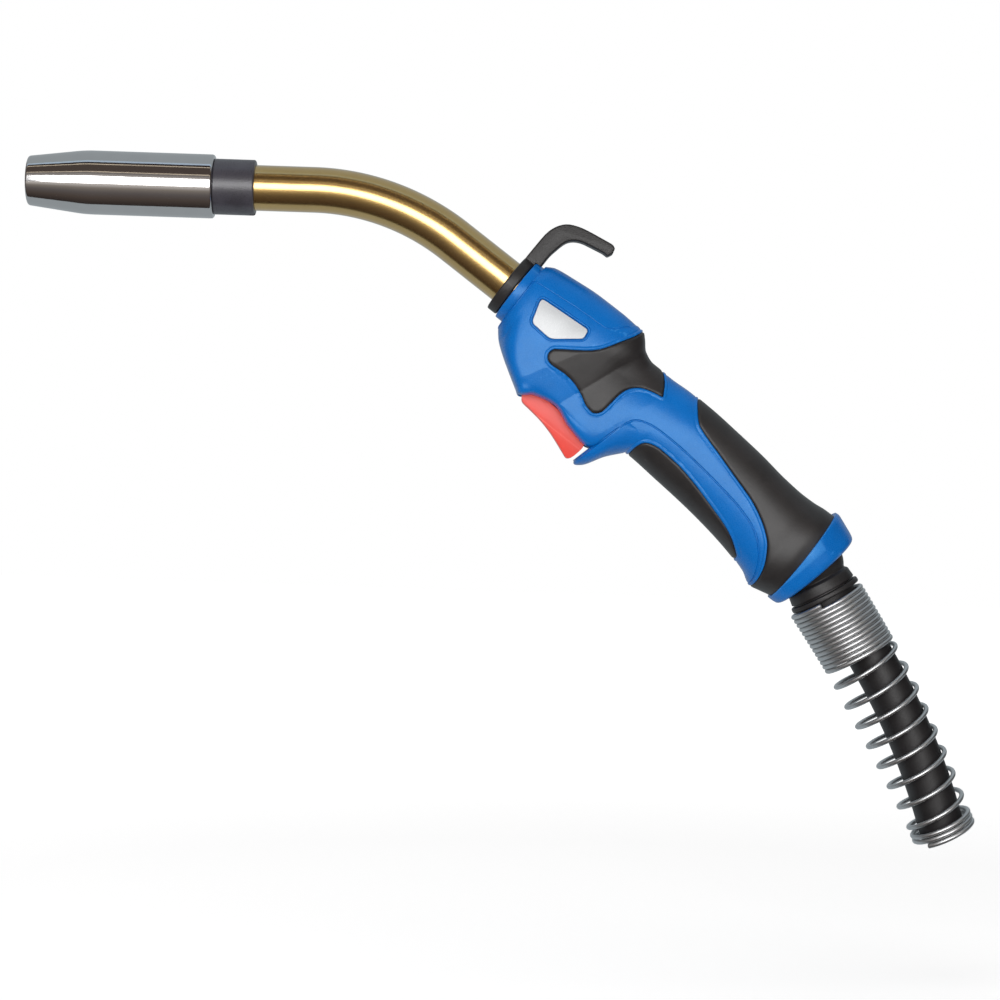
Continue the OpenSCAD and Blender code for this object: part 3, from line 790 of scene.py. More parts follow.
@dataclass(frozen=True)
class Loft:
    """Smooth form through slanted sections, as the shells' mould has it.

    Each station is U at its bottom, U at its top, bottom V, top V, half width, V of its widest
    point, and squareness.
    """

    stations: tuple[Station, ...]
    squarer: float = 0.0

    def square(self, places: np.ndarray, sine: np.ndarray, middle: np.ndarray) -> np.ndarray:
        """Gives the squareness, which is greater on the lower flank beside the trigger."""
        front = rise(places, 9.0, 16.0) * rise(places, 86.0, -22.0)
        return middle + np.where(sine < 0.0, self.squarer * front, 0.0)

    def side_y(self, u: np.ndarray, v: np.ndarray) -> np.ndarray:
        """Gives the half width at points in side view.

        Args:
            u: Points' U.
            v: Points' V.

        Returns:
            Half widths, or 0 outside the form.
        """
        place = u.copy()
        first, last = self.span()
        for _ in range(12):
            place += u - self.slant(self.rows(np.clip(place, first, last)), v)
        s = self.rows(np.clip(place, first, last))
        over = v > s[:, 5]
        t = np.clip((v - s[:, 5]) / np.where(over, s[:, 3] - s[:, 5], s[:, 2] - s[:, 5]), 0, 1)
        n = self.square(place, np.where(over, 1.0, -1.0), s[:, 6])
        inside = (place >= first) & (place <= last)
        return np.where(inside, s[:, 4] * (1.0 - t**n) ** (1.0 / n), 0.0)

    @staticmethod
    def slant(s: np.ndarray, v: np.ndarray) -> np.ndarray:
        """Gives U at a height of slanted sections."""
        return s[:, 0] + (s[:, 1] - s[:, 0]) * (v - s[:, 2]) / (s[:, 3] - s[:, 2])

    def span(self) -> Point:
        """Gives the first and last place along the form."""
        return (sum(self.stations[0][:2]) / 2.0, sum(self.stations[-1][:2]) / 2.0)

    def rows(self, places: np.ndarray) -> np.ndarray:
        """Gives the section at any place, through every station and with no overshoot.

        Args:
            places: Middle U of each section that is asked for.

        Returns:
            One station per place.
        """
        table = np.array(self.stations, float)
        x = (table[:, 0] + table[:, 1]) / 2.0
        h = np.diff(x)
        d = np.diff(table, axis=0) / h[:, None]
        slope = np.zeros_like(table)
        slope[0], slope[-1] = d[0], d[-1]
        for i in range(1, len(x) - 1):
            w1, w2 = 2 * h[i] + h[i - 1], h[i] + 2 * h[i - 1]
            same = d[i - 1] * d[i] > 0
            before, after = np.where(same, d[i - 1], 1.0), np.where(same, d[i], 1.0)
            slope[i] = np.where(same, (w1 + w2) / (w1 / before + w2 / after), 0.0)
        k = np.clip(np.searchsorted(x, places, "right") - 1, 0, len(x) - 2)
        t = ((places - x[k]) / h[k])[:, None]
        step = h[k][:, None]
        return (
            (1 + 2 * t) * (1 - t) ** 2 * table[k]
            + t * (1 - t) ** 2 * step * slope[k]
            + t * t * (3 - 2 * t) * table[k + 1]
            + t * t * (t - 1) * step * slope[k + 1]
        )

    def points(self, places: np.ndarray, angles: np.ndarray) -> np.ndarray:
        """Gives points on the form's skin.

        Args:
            places: Middle U of each point's section.
            angles: Angle round the section in radians, from -pi/2 at its bottom to pi/2 at its top.

        Returns:
            U, Y and V of each point, on the side of positive Y.
        """
        s = self.rows(places)
        c, sine = np.cos(angles), np.sin(angles)
        n = self.square(places, sine, s[:, 6])
        reach = np.where(sine > 0, s[:, 3] - s[:, 5], s[:, 5] - s[:, 2])
        size = (np.abs(c) ** n + np.abs(sine) ** n) ** (1.0 / n)
        v = s[:, 5] + reach * sine / size
        return np.stack([self.slant(s, v), s[:, 4] * c / size, v], axis=1)

    def half(
        self,
        name: str,
        side: Side,
        relief: Relief,
        columns: int,
        rows: int,
        ends: Point | None = None,
    ) -> Piece:
        """Builds the closed half of the form on one side of the parting line.

        Args:
            name: Name of the solid.
            side: Half that is built.
            relief: Height above the form by U, Y and V.
            columns: Steps along the form.
            rows: Steps round it.
            ends: First and last place, where it isn't the whole form.

        Returns:
            The closed solid in the handle frame.
        """
        grid = bpy.ops.mesh.primitive_grid_add
        piece = added(name, grid, x_subdivisions=columns, y_subdivisions=rows, size=2.0)
        mesh = piece.data
        flat = np.zeros(len(mesh.vertices) * 3)
        mesh.vertices.foreach_get("co", flat)
        flat = flat.reshape(-1, 3)
        first, last = ends or self.span()
        place = first + (last - first) * (flat[:, 0] + 1.0) / 2.0
        angle = flat[:, 1] * math.pi / 2.0
        base = self.points(place, angle)
        along = self.points(place + 0.05, angle) - self.points(place - 0.05, angle)
        across = self.points(place, angle + 0.004) - self.points(place, angle - 0.004)
        normal = np.cross(along, across)
        normal /= np.linalg.norm(normal, axis=1)[:, None]
        middle = np.stack([base[:, 0], np.zeros(len(base)), self.rows(place)[:, 5]], axis=1)
        facing = (normal * (base - middle)).sum(axis=1)
        normal *= np.where(facing < 0, -1.0, 1.0)[:, None]
        base += normal * relief(base[:, 0], base[:, 1], base[:, 2])[:, None]
        base[np.abs(np.abs(flat[:, 1]) - 1.0) < 1e-6, 1] = 0.0
        base[:, 1] *= side.value
        mesh.vertices.foreach_set("co", base.ravel())
        self._close(mesh, flat, columns, rows)
        tidy(piece)
        return piece

    @staticmethod
    def _close(mesh: bpy.types.Mesh, flat: np.ndarray, columns: int, rows: int) -> None:
        """Closes the skin along the parting line and at both ends.

        Args:
            mesh: Mesh of the skin.
            flat: Place of each point on the flat grid.
            columns: Steps along the form.
            rows: Steps round it.
        """
        column = np.rint((flat[:, 0] + 1.0) / 2.0 * columns).astype(int)
        row = np.rint((flat[:, 1] + 1.0) / 2.0 * rows).astype(int)
        number = np.zeros((columns + 1, rows + 1), int)
        number[column, row] = np.arange(len(flat))
        shape = bmesh.new()
        shape.from_mesh(mesh)
        shape.verts.ensure_lookup_table()
        strips = [
            [number[i, 0], number[i, rows], number[i + 1, rows], number[i + 1, 0]]
            for i in range(columns)
        ]
        for corners in [*strips, number[0], number[columns]]:
            shape.faces.new([shape.verts[k] for k in corners])
        shape.to_mesh(mesh)
        shape.free()


# ---- Handle ----


@dataclass
class Handle(Group):
    """Two moulded shells with the pockets of their grip pads, the pads and the side plate."""

    form: Loft = Loft(
        (
            (4, 4, -18, 16.2, 15.8, -1.5, 2.2), (8, 8, -22.5, 18.3, 17.2, -4, 2.35),
            (14, 18, -26.8, 19.7, 18.7, -9, 2.5), (20, 31, -30.4, 20.8, 19.6, -13, 2.7),
            (27, 44, -34.5, 20.9, 20.3, -17, 2.8), (29.3, 46.3, -35.8, 20.8, 20.3, -18, 2.8),
            (35, 51, -32.4, 20.5, 20.3, -20, 2.8), (43.4, 55.4, -31.5, 19.8, 20.2, -22, 2.8),
            (46.5, 57.6, -31.6, 17.9, 20.1, -22.5, 2.8), (56, 62, -33.6, 13.4, 18.9, -23, 2.7),
            (66, 68, -35.4, 11.5, 17.6, -21, 2.5), (76, 78, -29.5, 11.5, 16.5, -15, 2.4),
            (84, 88, -26.2, 12, 16.2, -11, 2.4), (100, 100, -27.2, 11.8, 16.3, -8, 2.4),
            (115, 115, -28.3, 10.8, 16.8, -9, 2.4), (130, 130, -30, 9.5, 17.4, -10, 2.4),
            (145, 145, -32.6, 7.6, 18.3, -12, 2.4), (155, 155, -35.3, 7, 19.6, -13.5, 2.4),
            (161, 161, -38.2, 7.2, 20.8, -15, 2.4), (166, 166, -37.2, 7.8, 21.2, -15, 2.4),
            (170.9, 170.9, -36, 8, 20.5, -14.5, 2.4),
        ),
        4.0,
    )
    guard: Loft = Loft(
        (
            (66.2, 74, -43.3, -12, 13.5, -24, 2.6), (67.6, 75.5, -44.5, -10, 17.6, -20, 2.4),
            (70.4, 77, -42.7, -9.6, 17.4, -20, 2.4), (76, 81, -33.8, -9.6, 16.6, -18, 2.4),
            (82, 86, -26.6, -9.6, 15.2, -16, 2.4),
        )
    )
    wall: float = 2.6
    pad_depth: float = 1.6
    pad_rise: float = 0.3
    pad_gap: float = 0.16
    plate_depth: float = 1.5
    plate_gap: float = 0.3
    moat: Point = (0.85, 0.6)
    rim: Point = (14.9, 4.6)
    neck_bore: float = 10.05
    slot_half: float = 8.3
    socket: Point = (16.95, -16.8)
    groove: float = 0.5
    crease: float = 2.5
    parting: float = 0.12
    columns: int = 480
    rows: int = 164
    floor_grid: tuple[int, int] = (170, 60)
    seam: tuple[Point, ...] = (
        (66.3, -44.5), (66.8, -42.5), (68.7, -35.6), (70.7, -27.8), (72.7, -20.9), (74.7, -15.9),
        (76.6, -13.3), (79.6, -11.8), (83.5, -10.8), (89.4, -10.4), (99.3, -10.6), (104.2, -11),
        (114.1, -12), (123.9, -13.3), (133.8, -14.9), (138.7, -16.2), (143.6, -17.7),
        (148.5, -20.4), (151.5, -22.8), (154.4, -25.8), (156.4, -28.7), (158.4, -32.7),
        (159.9, -36.6), (160.3, -40.6),
    )
    top_panel: tuple[Point, ...] = (
        (-3.2, 6.7), (4.7, 7.2), (10.6, 7.7), (20.5, 8.7), (30.3, 9.5), (40.2, 9.9), (43.1, 11),
        (46.1, 13.6), (48.5, 16.6), (50, 18.5), (52, 28.4), (-3.2, 28.4),
    )
    front_pad: tuple[Point, ...] = (
        (57.2, 23.2), (64.2, 18.5), (74.9, 9.7), (79.1, 3.3), (79.4, 1.8), (76.6, 1.3), (71.7, 0),
        (68.7, -1.6), (66.3, -4.1), (64.8, -7.1), (64, -11), (63.6, -14.9), (63.1, -18.9),
        (61.8, -21.3), (59.9, -22.5), (57.4, -22.3), (55, -21.6), (52, -19.9), (49, -18.6),
        (45.1, -17.4), (40.2, -16.9), (36.2, -17.2), (33.3, -17.4), (30.8, -16.9), (29.3, -15.4),
        (28.8, -13.5), (29.6, -11.3), (31.3, -10), (35.3, -7.1), (40.2, -3.6), (44.1, -0.2),
        (47.1, 3.8), (50.2, 9.2), (53.8, 15.6),
    )
    back_pad: tuple[Point, ...] = (
        (92.4, 12.6), (92.9, 10.2), (95.3, 6.7), (97.8, 3.8), (100.3, 1.8), (104.2, 0.3),
        (109.1, -1.2), (114.1, -2.6), (123.9, -5.6), (133.8, -8.5), (138.7, -10.2),
        (143.6, -12.5), (148.5, -15.4), (153.5, -19.4), (156.4, -23.3), (158.9, -27.8),
        (160.3, -31.7), (161.3, -36.6), (161.8, -46.5),
    )
    palm_pad: tuple[Point, ...] = (
        (83.5, -34.6), (83.5, -26.8), (83.7, -22.8), (85, -19.4), (87, -17.7), (90.4, -16.7),
        (94.4, -16.5), (104.2, -17.2), (114.1, -19.2), (123.9, -21.8), (133.8, -24.6),
        (140.4, -27.2), (146.6, -31), (148.6, -33.2), (149.6, -40.6),
    )
    plate: tuple[Triple, ...] = (
        (11.5, 2.9, 2.2), (36.3, 4.6, 1.8), (37.0, 0.1, 1.6), (25.7, -8.9, 2.0), (14.9, -8.2, 2.0),
    )
    screws: tuple[Triple, ...] = ((22, -24, 12), (46, 14.4, 10.4), (78, -20, 9), (140, -21.4, 12.4))
    outlines: dict[str, list[Point]] = field(default_factory=dict)

    def __post_init__(self) -> None:
        """Runs the outlines' smooth curves."""
        self.outlines = {
            "front_pad": run_smooth(self.front_pad, 4, True),
            "back_pad": [*run_smooth(self.back_pad, 4), (174, -47), (174, 19), (92.4, 19)],
            "palm_pad": [*run_smooth(self.palm_pad, 4), (149.6, -51), (83.5, -51)],
        }
        self.panel = run_smooth(self.top_panel, 3)
        self.plate_edge = soften(self.plate, 6)

    def facet(self, u: np.ndarray, v: np.ndarray) -> np.ndarray:
        """Gives the flat between the cheek's two creases and the slope that rises behind it.

        Args:
            u: Points' U.
            v: Points' V.

        Returns:
            Heights, at most zero.
        """
        behind_first = (u - 26.6) * 0.875 - (v + 29.0) * 0.484
        behind_second = (u - 46.1) * 0.932 - (v + 28.8) * 0.363
        sink = np.clip(behind_first / np.maximum(behind_first - behind_second, 0.1), 0.0, 1.0)
        climb = np.clip(1.0 - behind_second / 20.0, 0.0, 1.0) ** 1.2
        depth = self.crease * np.where(behind_second < 0.0, sink, climb)
        return -depth * ease((10.0 - v) / 12.0) * ease((v + 34.0) / 4.0)

    def shell_relief(self, u: np.ndarray, y: np.ndarray, v: np.ndarray) -> np.ndarray:
        """Gives a shell's relief: the lips round its pads, the panel's step and the parting line.

        Args:
            u: Points' U.
            y: Points' Y.
            v: Points' V.

        Returns:
            Heights.
        """
        height = self.facet(u, v)
        for outline in self.outlines.values():
            away = line_distance(u, v, outline)
            lip = 0.3 * np.clip(1.0 - ((away - 0.62) / 0.62) ** 2, -1.6, 1.0) * (away < 1.24)
            height = height + lip - 0.14 * np.clip(1.0 - np.abs(away - 1.5) / 0.4, 0.0, 1.0)
        panel = line_distance(u, v, self.panel)
        height = height - 0.3 * (1.0 - ease(panel / 0.7 + 0.5))
        return height - self.parting * (1.0 - ease(np.abs(y) / 0.5))

    def pad_relief(self, name: str) -> Relief:
        """Gives the relief of a pad, with its rise and round border, or of the plain plate.

        Args:
            name: Name of the outline.

        Returns:
            Function of U, Y and V.
        """
        if name == "badge":
            return self.plain(-0.3)

        def relief(u: np.ndarray, y: np.ndarray, v: np.ndarray) -> np.ndarray:
            """Rounds the border and sinks the parting line."""
            deep = -line_distance(u, v, self.outlines[name]) - self.pad_gap
            height = self.facet(u, v) + self.pad_rise - 0.75 * (1.0 - dome(deep / 1.1))
            return height - self.parting * (1.0 - ease(np.abs(y) / 0.5))

        return relief

    def plain(self, height: float) -> Relief:
        """Gives an even offset of the form, with the cheek's flat."""
        return lambda u, y, v: np.full(u.shape, height) + self.facet(u, v)

    def inside(self, side: Side, depth: float) -> Piece:
        """Makes the solid that lies a depth below the form."""
        return self.form.half("floor", side, self.plain(-depth), *self.floor_grid)

    def pocket(self, side: Side, outline: Sequence[Point], depth: float) -> Piece:
        """Makes the cutter of a pocket whose floor follows the form.

        Args:
            side: Half of the handle.
            outline: Outline in side view.
            depth: Depth below the form.

        Returns:
            The cutter.
        """
        space = prism("pocket", outline, -40, 40)
        combine(space, self.inside(side, depth))
        return space

    def socket_bar(self) -> Piece:
        """Makes the cutter of the rear socket.

        Returns:
            The cutter in the handle frame.
        """
        radius, start = self.socket
        cutter = bar("socket_cut", radius, (0, 0, 0), 40.0, turned(0.0))
        cutter.data.transform(FRAMES.at_ball(FRAMES.seat_tilt) @ shift(start, 0, 0) @ ALONG_X)
        return cutter

    def shell(self, side: Side) -> Piece:
        """Builds one shell.

        Args:
            side: Half of the handle.

        Returns:
            The shell in the handle frame.
        """
        name = f"{side.name.lower()}_shell"
        piece = self.form.half(name, side, self.shell_relief, self.columns, self.rows)
        combine(piece, self.guard.half("guard", side, self.shell_relief, 60, 90), Boolean.JOIN)
        rim = bar("rim", self.rim[0], (0, 0, 0), self.rim[1], ALONG_X)
        round_edges(rim, 0.5)
        combine(piece, rim, Boolean.JOIN)
        low = -60.0 if side is Side.LEFT else 0.0
        combine(piece, block("half", (-20, low, -80), (200, low + 60, 60)), Boolean.KEEP)
        cavity = self.form.half("cavity", side, self.plain(-self.wall), 110, 48)
        cavity.data.transform(shift(0.0, -0.5 * side.value, 0.0))
        combine(cavity, block("ends", (7, -40, -60), (165, 40, 60)), Boolean.KEEP)
        combine(piece, cavity)
        combine(piece, bar("bore", self.neck_bore, (-1, 0, 0), 34, ALONG_X))
        combine(piece, self.socket_bar())
        half = self.slot_half
        combine(piece, block("slot", (29.3, -half, -37.9), (67.2, half, -24)))
        for outline in self.outlines.values():
            combine(piece, self.pocket(side, outline, self.pad_depth))
        if side is Side.RIGHT:
            for u, v, seat in self.screws:
                combine(piece, bar("hole", 3.2, (u, seat, v), 20, ALONG_Y, 48))
        else:
            room = self.inset(self.plate_edge, -self.plate_gap)
            combine(piece, self.pocket(side, room, self.plate_depth))
            away, radius = self.moat
            moat = self.inset(self.plate_edge, -away)
            self.scribe(piece, side, [*moat, *moat[:2]], radius)
        front = [(4.5, 6.6 - 1.35 * k) for k in range(20)]
        for line in (run_smooth(self.seam, 3), self.panel[3:-7], front):
            self.scribe(piece, side, line, self.groove)
        return piece

    def scribe(self, piece: Piece, side: Side, line: Sequence[Point], radius: float) -> None:
        """Cuts a round groove along a line of the side view.

        Args:
            piece: Shell that gets the groove.
            side: Half of the handle.
            line: Points of the line.
            radius: Radius of the groove.
        """
        ring = np.array(line)
        y = np.maximum(self.form.side_y(*ring.T), self.guard.side_y(*ring.T))
        y = (y + self.facet(*ring.T) - 0.08) * side.value
        path = [(float(p[0]), float(q), float(p[1])) for p, q in zip(ring, y, strict=True)]
        combine(piece, wire("groove", path, radius, 3))

    def pad(self, name: str, side: Side) -> Piece:
        """Builds one pad's half, or the plate.

        Args:
            name: Name of its outline.
            side: Half of the handle.

        Returns:
            The pad in the handle frame.
        """
        outline = self.plate_edge if name == "badge" else self.outlines[name]
        low, high = min(p[0] for p in outline), max(p[0] for p in outline)
        first, last = self.form.span()
        ends = (max(first, low - 14.0), min(last, high + 14.0))
        columns = int((ends[1] - ends[0]) / 0.5)
        full = f"{name}_{side.name.lower()}_piece"
        piece = self.form.half(full, side, self.pad_relief(name), columns, self.rows, ends)
        combine(piece, self.inside(side, self.pad_depth))
        combine(piece, prism("edge", self.inset(outline, self.pad_gap), -40, 40), Boolean.KEEP)
        if name == "back_pad":
            combine(piece, self.socket_bar())
        return piece

    @staticmethod
    def inset(outline: Sequence[Point], gap: float) -> list[Point]:
        """Moves an outline inwards or outwards.

        Args:
            outline: Corners of the outline.
            gap: Distance inwards, or outwards where it is negative.

        Returns:
            The moved corners.
        """
        ring = np.array(outline)
        after = np.roll(ring, -1, axis=0)
        ahead = after - np.roll(ring, 1, axis=0)
        side = np.stack([-ahead[:, 1], ahead[:, 0]], axis=1)
        side /= np.linalg.norm(side, axis=1)[:, None]
        area = float(np.sum(ring[:, 0] * after[:, 1] - after[:, 0] * ring[:, 1]))
        return pairs(ring + side * gap * (1.0 if area > 0 else -1.0))

    def build(self) -> None:
        """Builds and fits the whole handle."""
        place = FRAMES.handle()
        for side in Side:
            hand = side.name.lower()
            node = f"handle_{hand}_shell"
            self.fitter.fit(self.shell(side), place, "handle", "blue_housing", node)
            for name in self.outlines:
                node = f"{name}_{hand}"
                self.fitter.fit(self.pad(name, side), place, "handle", "black_grip", node)
        plate = self.pad("badge", Side.LEFT)
        self.fitter.fit(plate, place, "handle", "silver_plate", "badge_plate")


# ---- Neck and nozzle ----


@dataclass
class Neck(Group):
    """Bent brass tube between the handle and the nozzle's insulator."""

    radius: float = 10.0
    wall: float = 1.5
    bend_r: float = 105.0
    rear: float = 28.0
    front: float = 63.4

    def build(self) -> None:
        """Builds the tube from the insulator to its rear end, and fits it."""
        tilt, corner = FRAMES.handle_tilt, FRAMES.neck_corner
        cut = self.bend_r * math.tan(math.radians(tilt / 2.0))
        runs = (self.front - cut, tilt, corner - cut + self.rear)
        tube = sweep("neck_tube", self.radius, -cut, self.bend_r, runs, self.wall, 128)
        middle = FRAMES.handle() @ Vector((-corner, 0.0, 0.0))
        place = Matrix.Translation(middle) @ Matrix.Scale(MM, 4)
        self.fitter.fit(tube, place, "handle", "brass_neck", "neck_outer_tube")


@dataclass
class NozzleEnd(Group):
    """Gas nozzle and the insulating ring that carries it, both turned about the nozzle axis."""

    reach: float = 160.0
    length: float = 82.2
    insulator: float = 17.4
    sides: int = 160

    def nozzle(self) -> Piece:
        """Builds the chromed nozzle with its rounded mouth and rear lip.

        Returns:
            The nozzle in its own frame.
        """
        rear, mouth = self.reach - self.length + 0.7, self.reach + 0.3
        corners = (
            (11.0, rear, 0.4), (14.0, rear, 1.3), (14.0, mouth - 25.0, 4.0), (10.8, mouth, 1.2),
            (9.0, mouth, 0.6), (9.0, mouth - 7.0, 0.5), (11.0, mouth - 25.0, 1.0),
        )
        return lathe("turned_nozzle", soften(corners, 6), self.sides)

    def ring(self) -> Piece:
        """Builds the insulating ring with the spigot inside the nozzle and its rear notch.

        Returns:
            The ring in the nozzle's frame.
        """
        rear = self.reach - self.length
        start, clip, end = rear - self.insulator, rear + 7.8, rear + 19.0
        corners = (
            (10.0, start, 0.15), (12.2, start, 1.0), (12.2, rear + 0.6, 0.4),
            (10.95, rear + 0.6, 0.0), (10.95, clip - 0.8, 0.0), (9.7, clip - 0.8, 0.0),
            (9.7, clip + 0.8, 0.0), (10.95, clip + 0.8, 0.0), (10.95, end, 0.9), (7.0, end, 0.0),
            (7.0, start + 11.0, 0.0), (7.5, start + 11.0, 0.0), (7.5, start + 5.0, 0.0),
            (8.5, start + 5.0, 0.0), (8.5, start + 3.0, 0.0), (10.0, start + 3.0, 0.0),
        )
        piece = lathe("insulating_ring", soften(corners), self.sides)
        combine(piece, block("notch", (-13.4, -2.0, start - 1.0), (-11.0, 2.0, start + 2.4)))
        return piece

    def build(self) -> None:
        """Builds and fits the nozzle and its ring."""
        place = FRAMES.nozzle()
        self.fitter.fit(self.nozzle(), place, "nozzle", "chrome_nozzle", "gas_nozzle")
        self.fitter.fit(self.ring(), place, "handle", "dark_insulator", "nozzle_insulator")


@dataclass
class Hook(Group):
    """Hanging hook on its ring round the neck."""

    half_width: float = 4.5
    ring: Triple = (14.0, -5.3, 4.9)
    bore: float = 10.08
    sides: int = 128
    arm: tuple[Triple, ...] = (
        (-5.3, 0, 0), (-5.2, 16, 3), (-4.9, 28, 4), (-3, 33, 3), (0, 36.5, 2.4), (5, 38.7, 2.4),
        (10, 39.8, 2), (21.4, 41.6, 1.0), (23.1, 40.8, 0.6), (23.7, 38.4, 0.5), (22.6, 36, 0.6),
        (20, 36, 1), (10, 34, 2), (7, 32.5, 1.6), (5, 30.5, 1.2), (3.9, 28, 2), (2.5, 21, 2),
        (2.5, 13, 0), (-0.4, 12.6, 0), (-0.4, 0, 0),
    )

    def build(self) -> None:
        """Builds the moulded arm and ring as one solid, and fits it."""
        piece = prism("hook_arm", soften(self.arm, 3), -self.half_width, self.half_width)
        round_edges(piece, 0.9, 3, 50.0)
        combine(piece, bar("foot", 15.1, (-0.4, 0, 0), 8.0, ALONG_X, self.sides))
        radius, start, width = self.ring
        ring = bar("ring", radius, (start, 0, 0), width, ALONG_X, self.sides)
        round_edges(ring, 0.8, 4)
        combine(piece, ring, Boolean.JOIN)
        bore = bar("bore", self.bore, (start - 3.0, 0, 0), width + 6.0, ALONG_X, self.sides)
        combine(piece, bore)
        self.fitter.fit(piece, FRAMES.handle(), "hook", "black_plastic", "hook")


# ---- Trigger ----


@dataclass
class Trigger(Group):
    """Rocker under the handle's front, with its pivot lug and the finger that works the switch."""

    half: float = 7.8
    pivot: Point = (32.5, -29.0)
    outline: tuple[Triple, ...] = (
        (30.2, -34, 0.8), (33.5, -31.6, 1.5), (38, -30.1, 2), (46, -30, 3), (56, -31.6, 3),
        (65, -33.4, 1.6), (66, -36.4, 1.4), (65.9, -38.2, 1.4), (65, -42.8, 1.6),
        (63.4, -44.8, 1.4), (57, -42.3, 3), (51, -40.1, 3), (44, -38.4, 3), (37, -37.6, 2),
        (32.2, -37.2, 1.6),
    )
    section: tuple[Triple, ...] = (
        (-7.8, -20, 0), (-7.8, -40, 5), (-4.6, -46.5, 2), (4.6, -46.5, 2), (7.8, -40, 5),
        (7.8, -20, 0),
    )
    lug: tuple[Triple, ...] = (
        (30.2, -33.4, 0), (30, -30, 1), (31, -27, 1.4), (34, -27, 1.4), (35.3, -30, 1),
        (36, -32.6, 0), (33, -33.6, 0),
    )
    finger: tuple[Point, ...] = ((49, -33), (52, -23.5), (60, -23.5), (62, -34.6))

    def build(self) -> None:
        """Builds the rocker as one solid, and fits it."""
        piece = prism("trigger_rocker", soften(self.outline), -self.half, self.half)
        across = prism("across", soften(self.section, 6), 20.0, 75.0)
        across.data.transform(SWAP_XY)
        tidy(across)
        combine(piece, across, Boolean.KEEP)
        round_edges(piece, 0.7, 4, 50.0)
        combine(piece, prism("lug", soften(self.lug, 4), -self.half, self.half), Boolean.JOIN)
        combine(piece, prism("finger", self.finger, -3.0, 3.0), Boolean.JOIN)
        u, v = self.pivot
        combine(piece, bar("pin", 1.55, (u, 20, v), 40, turned(90.0, "X"), 48))
        combine(piece, bar("well", 3.5, (41, 0, -32.5), 10, turned(0.0), 48))
        self.fitter.fit(piece, FRAMES.handle(), "trigger", "coral_trigger", "trigger")


# ---- Rear joint ----


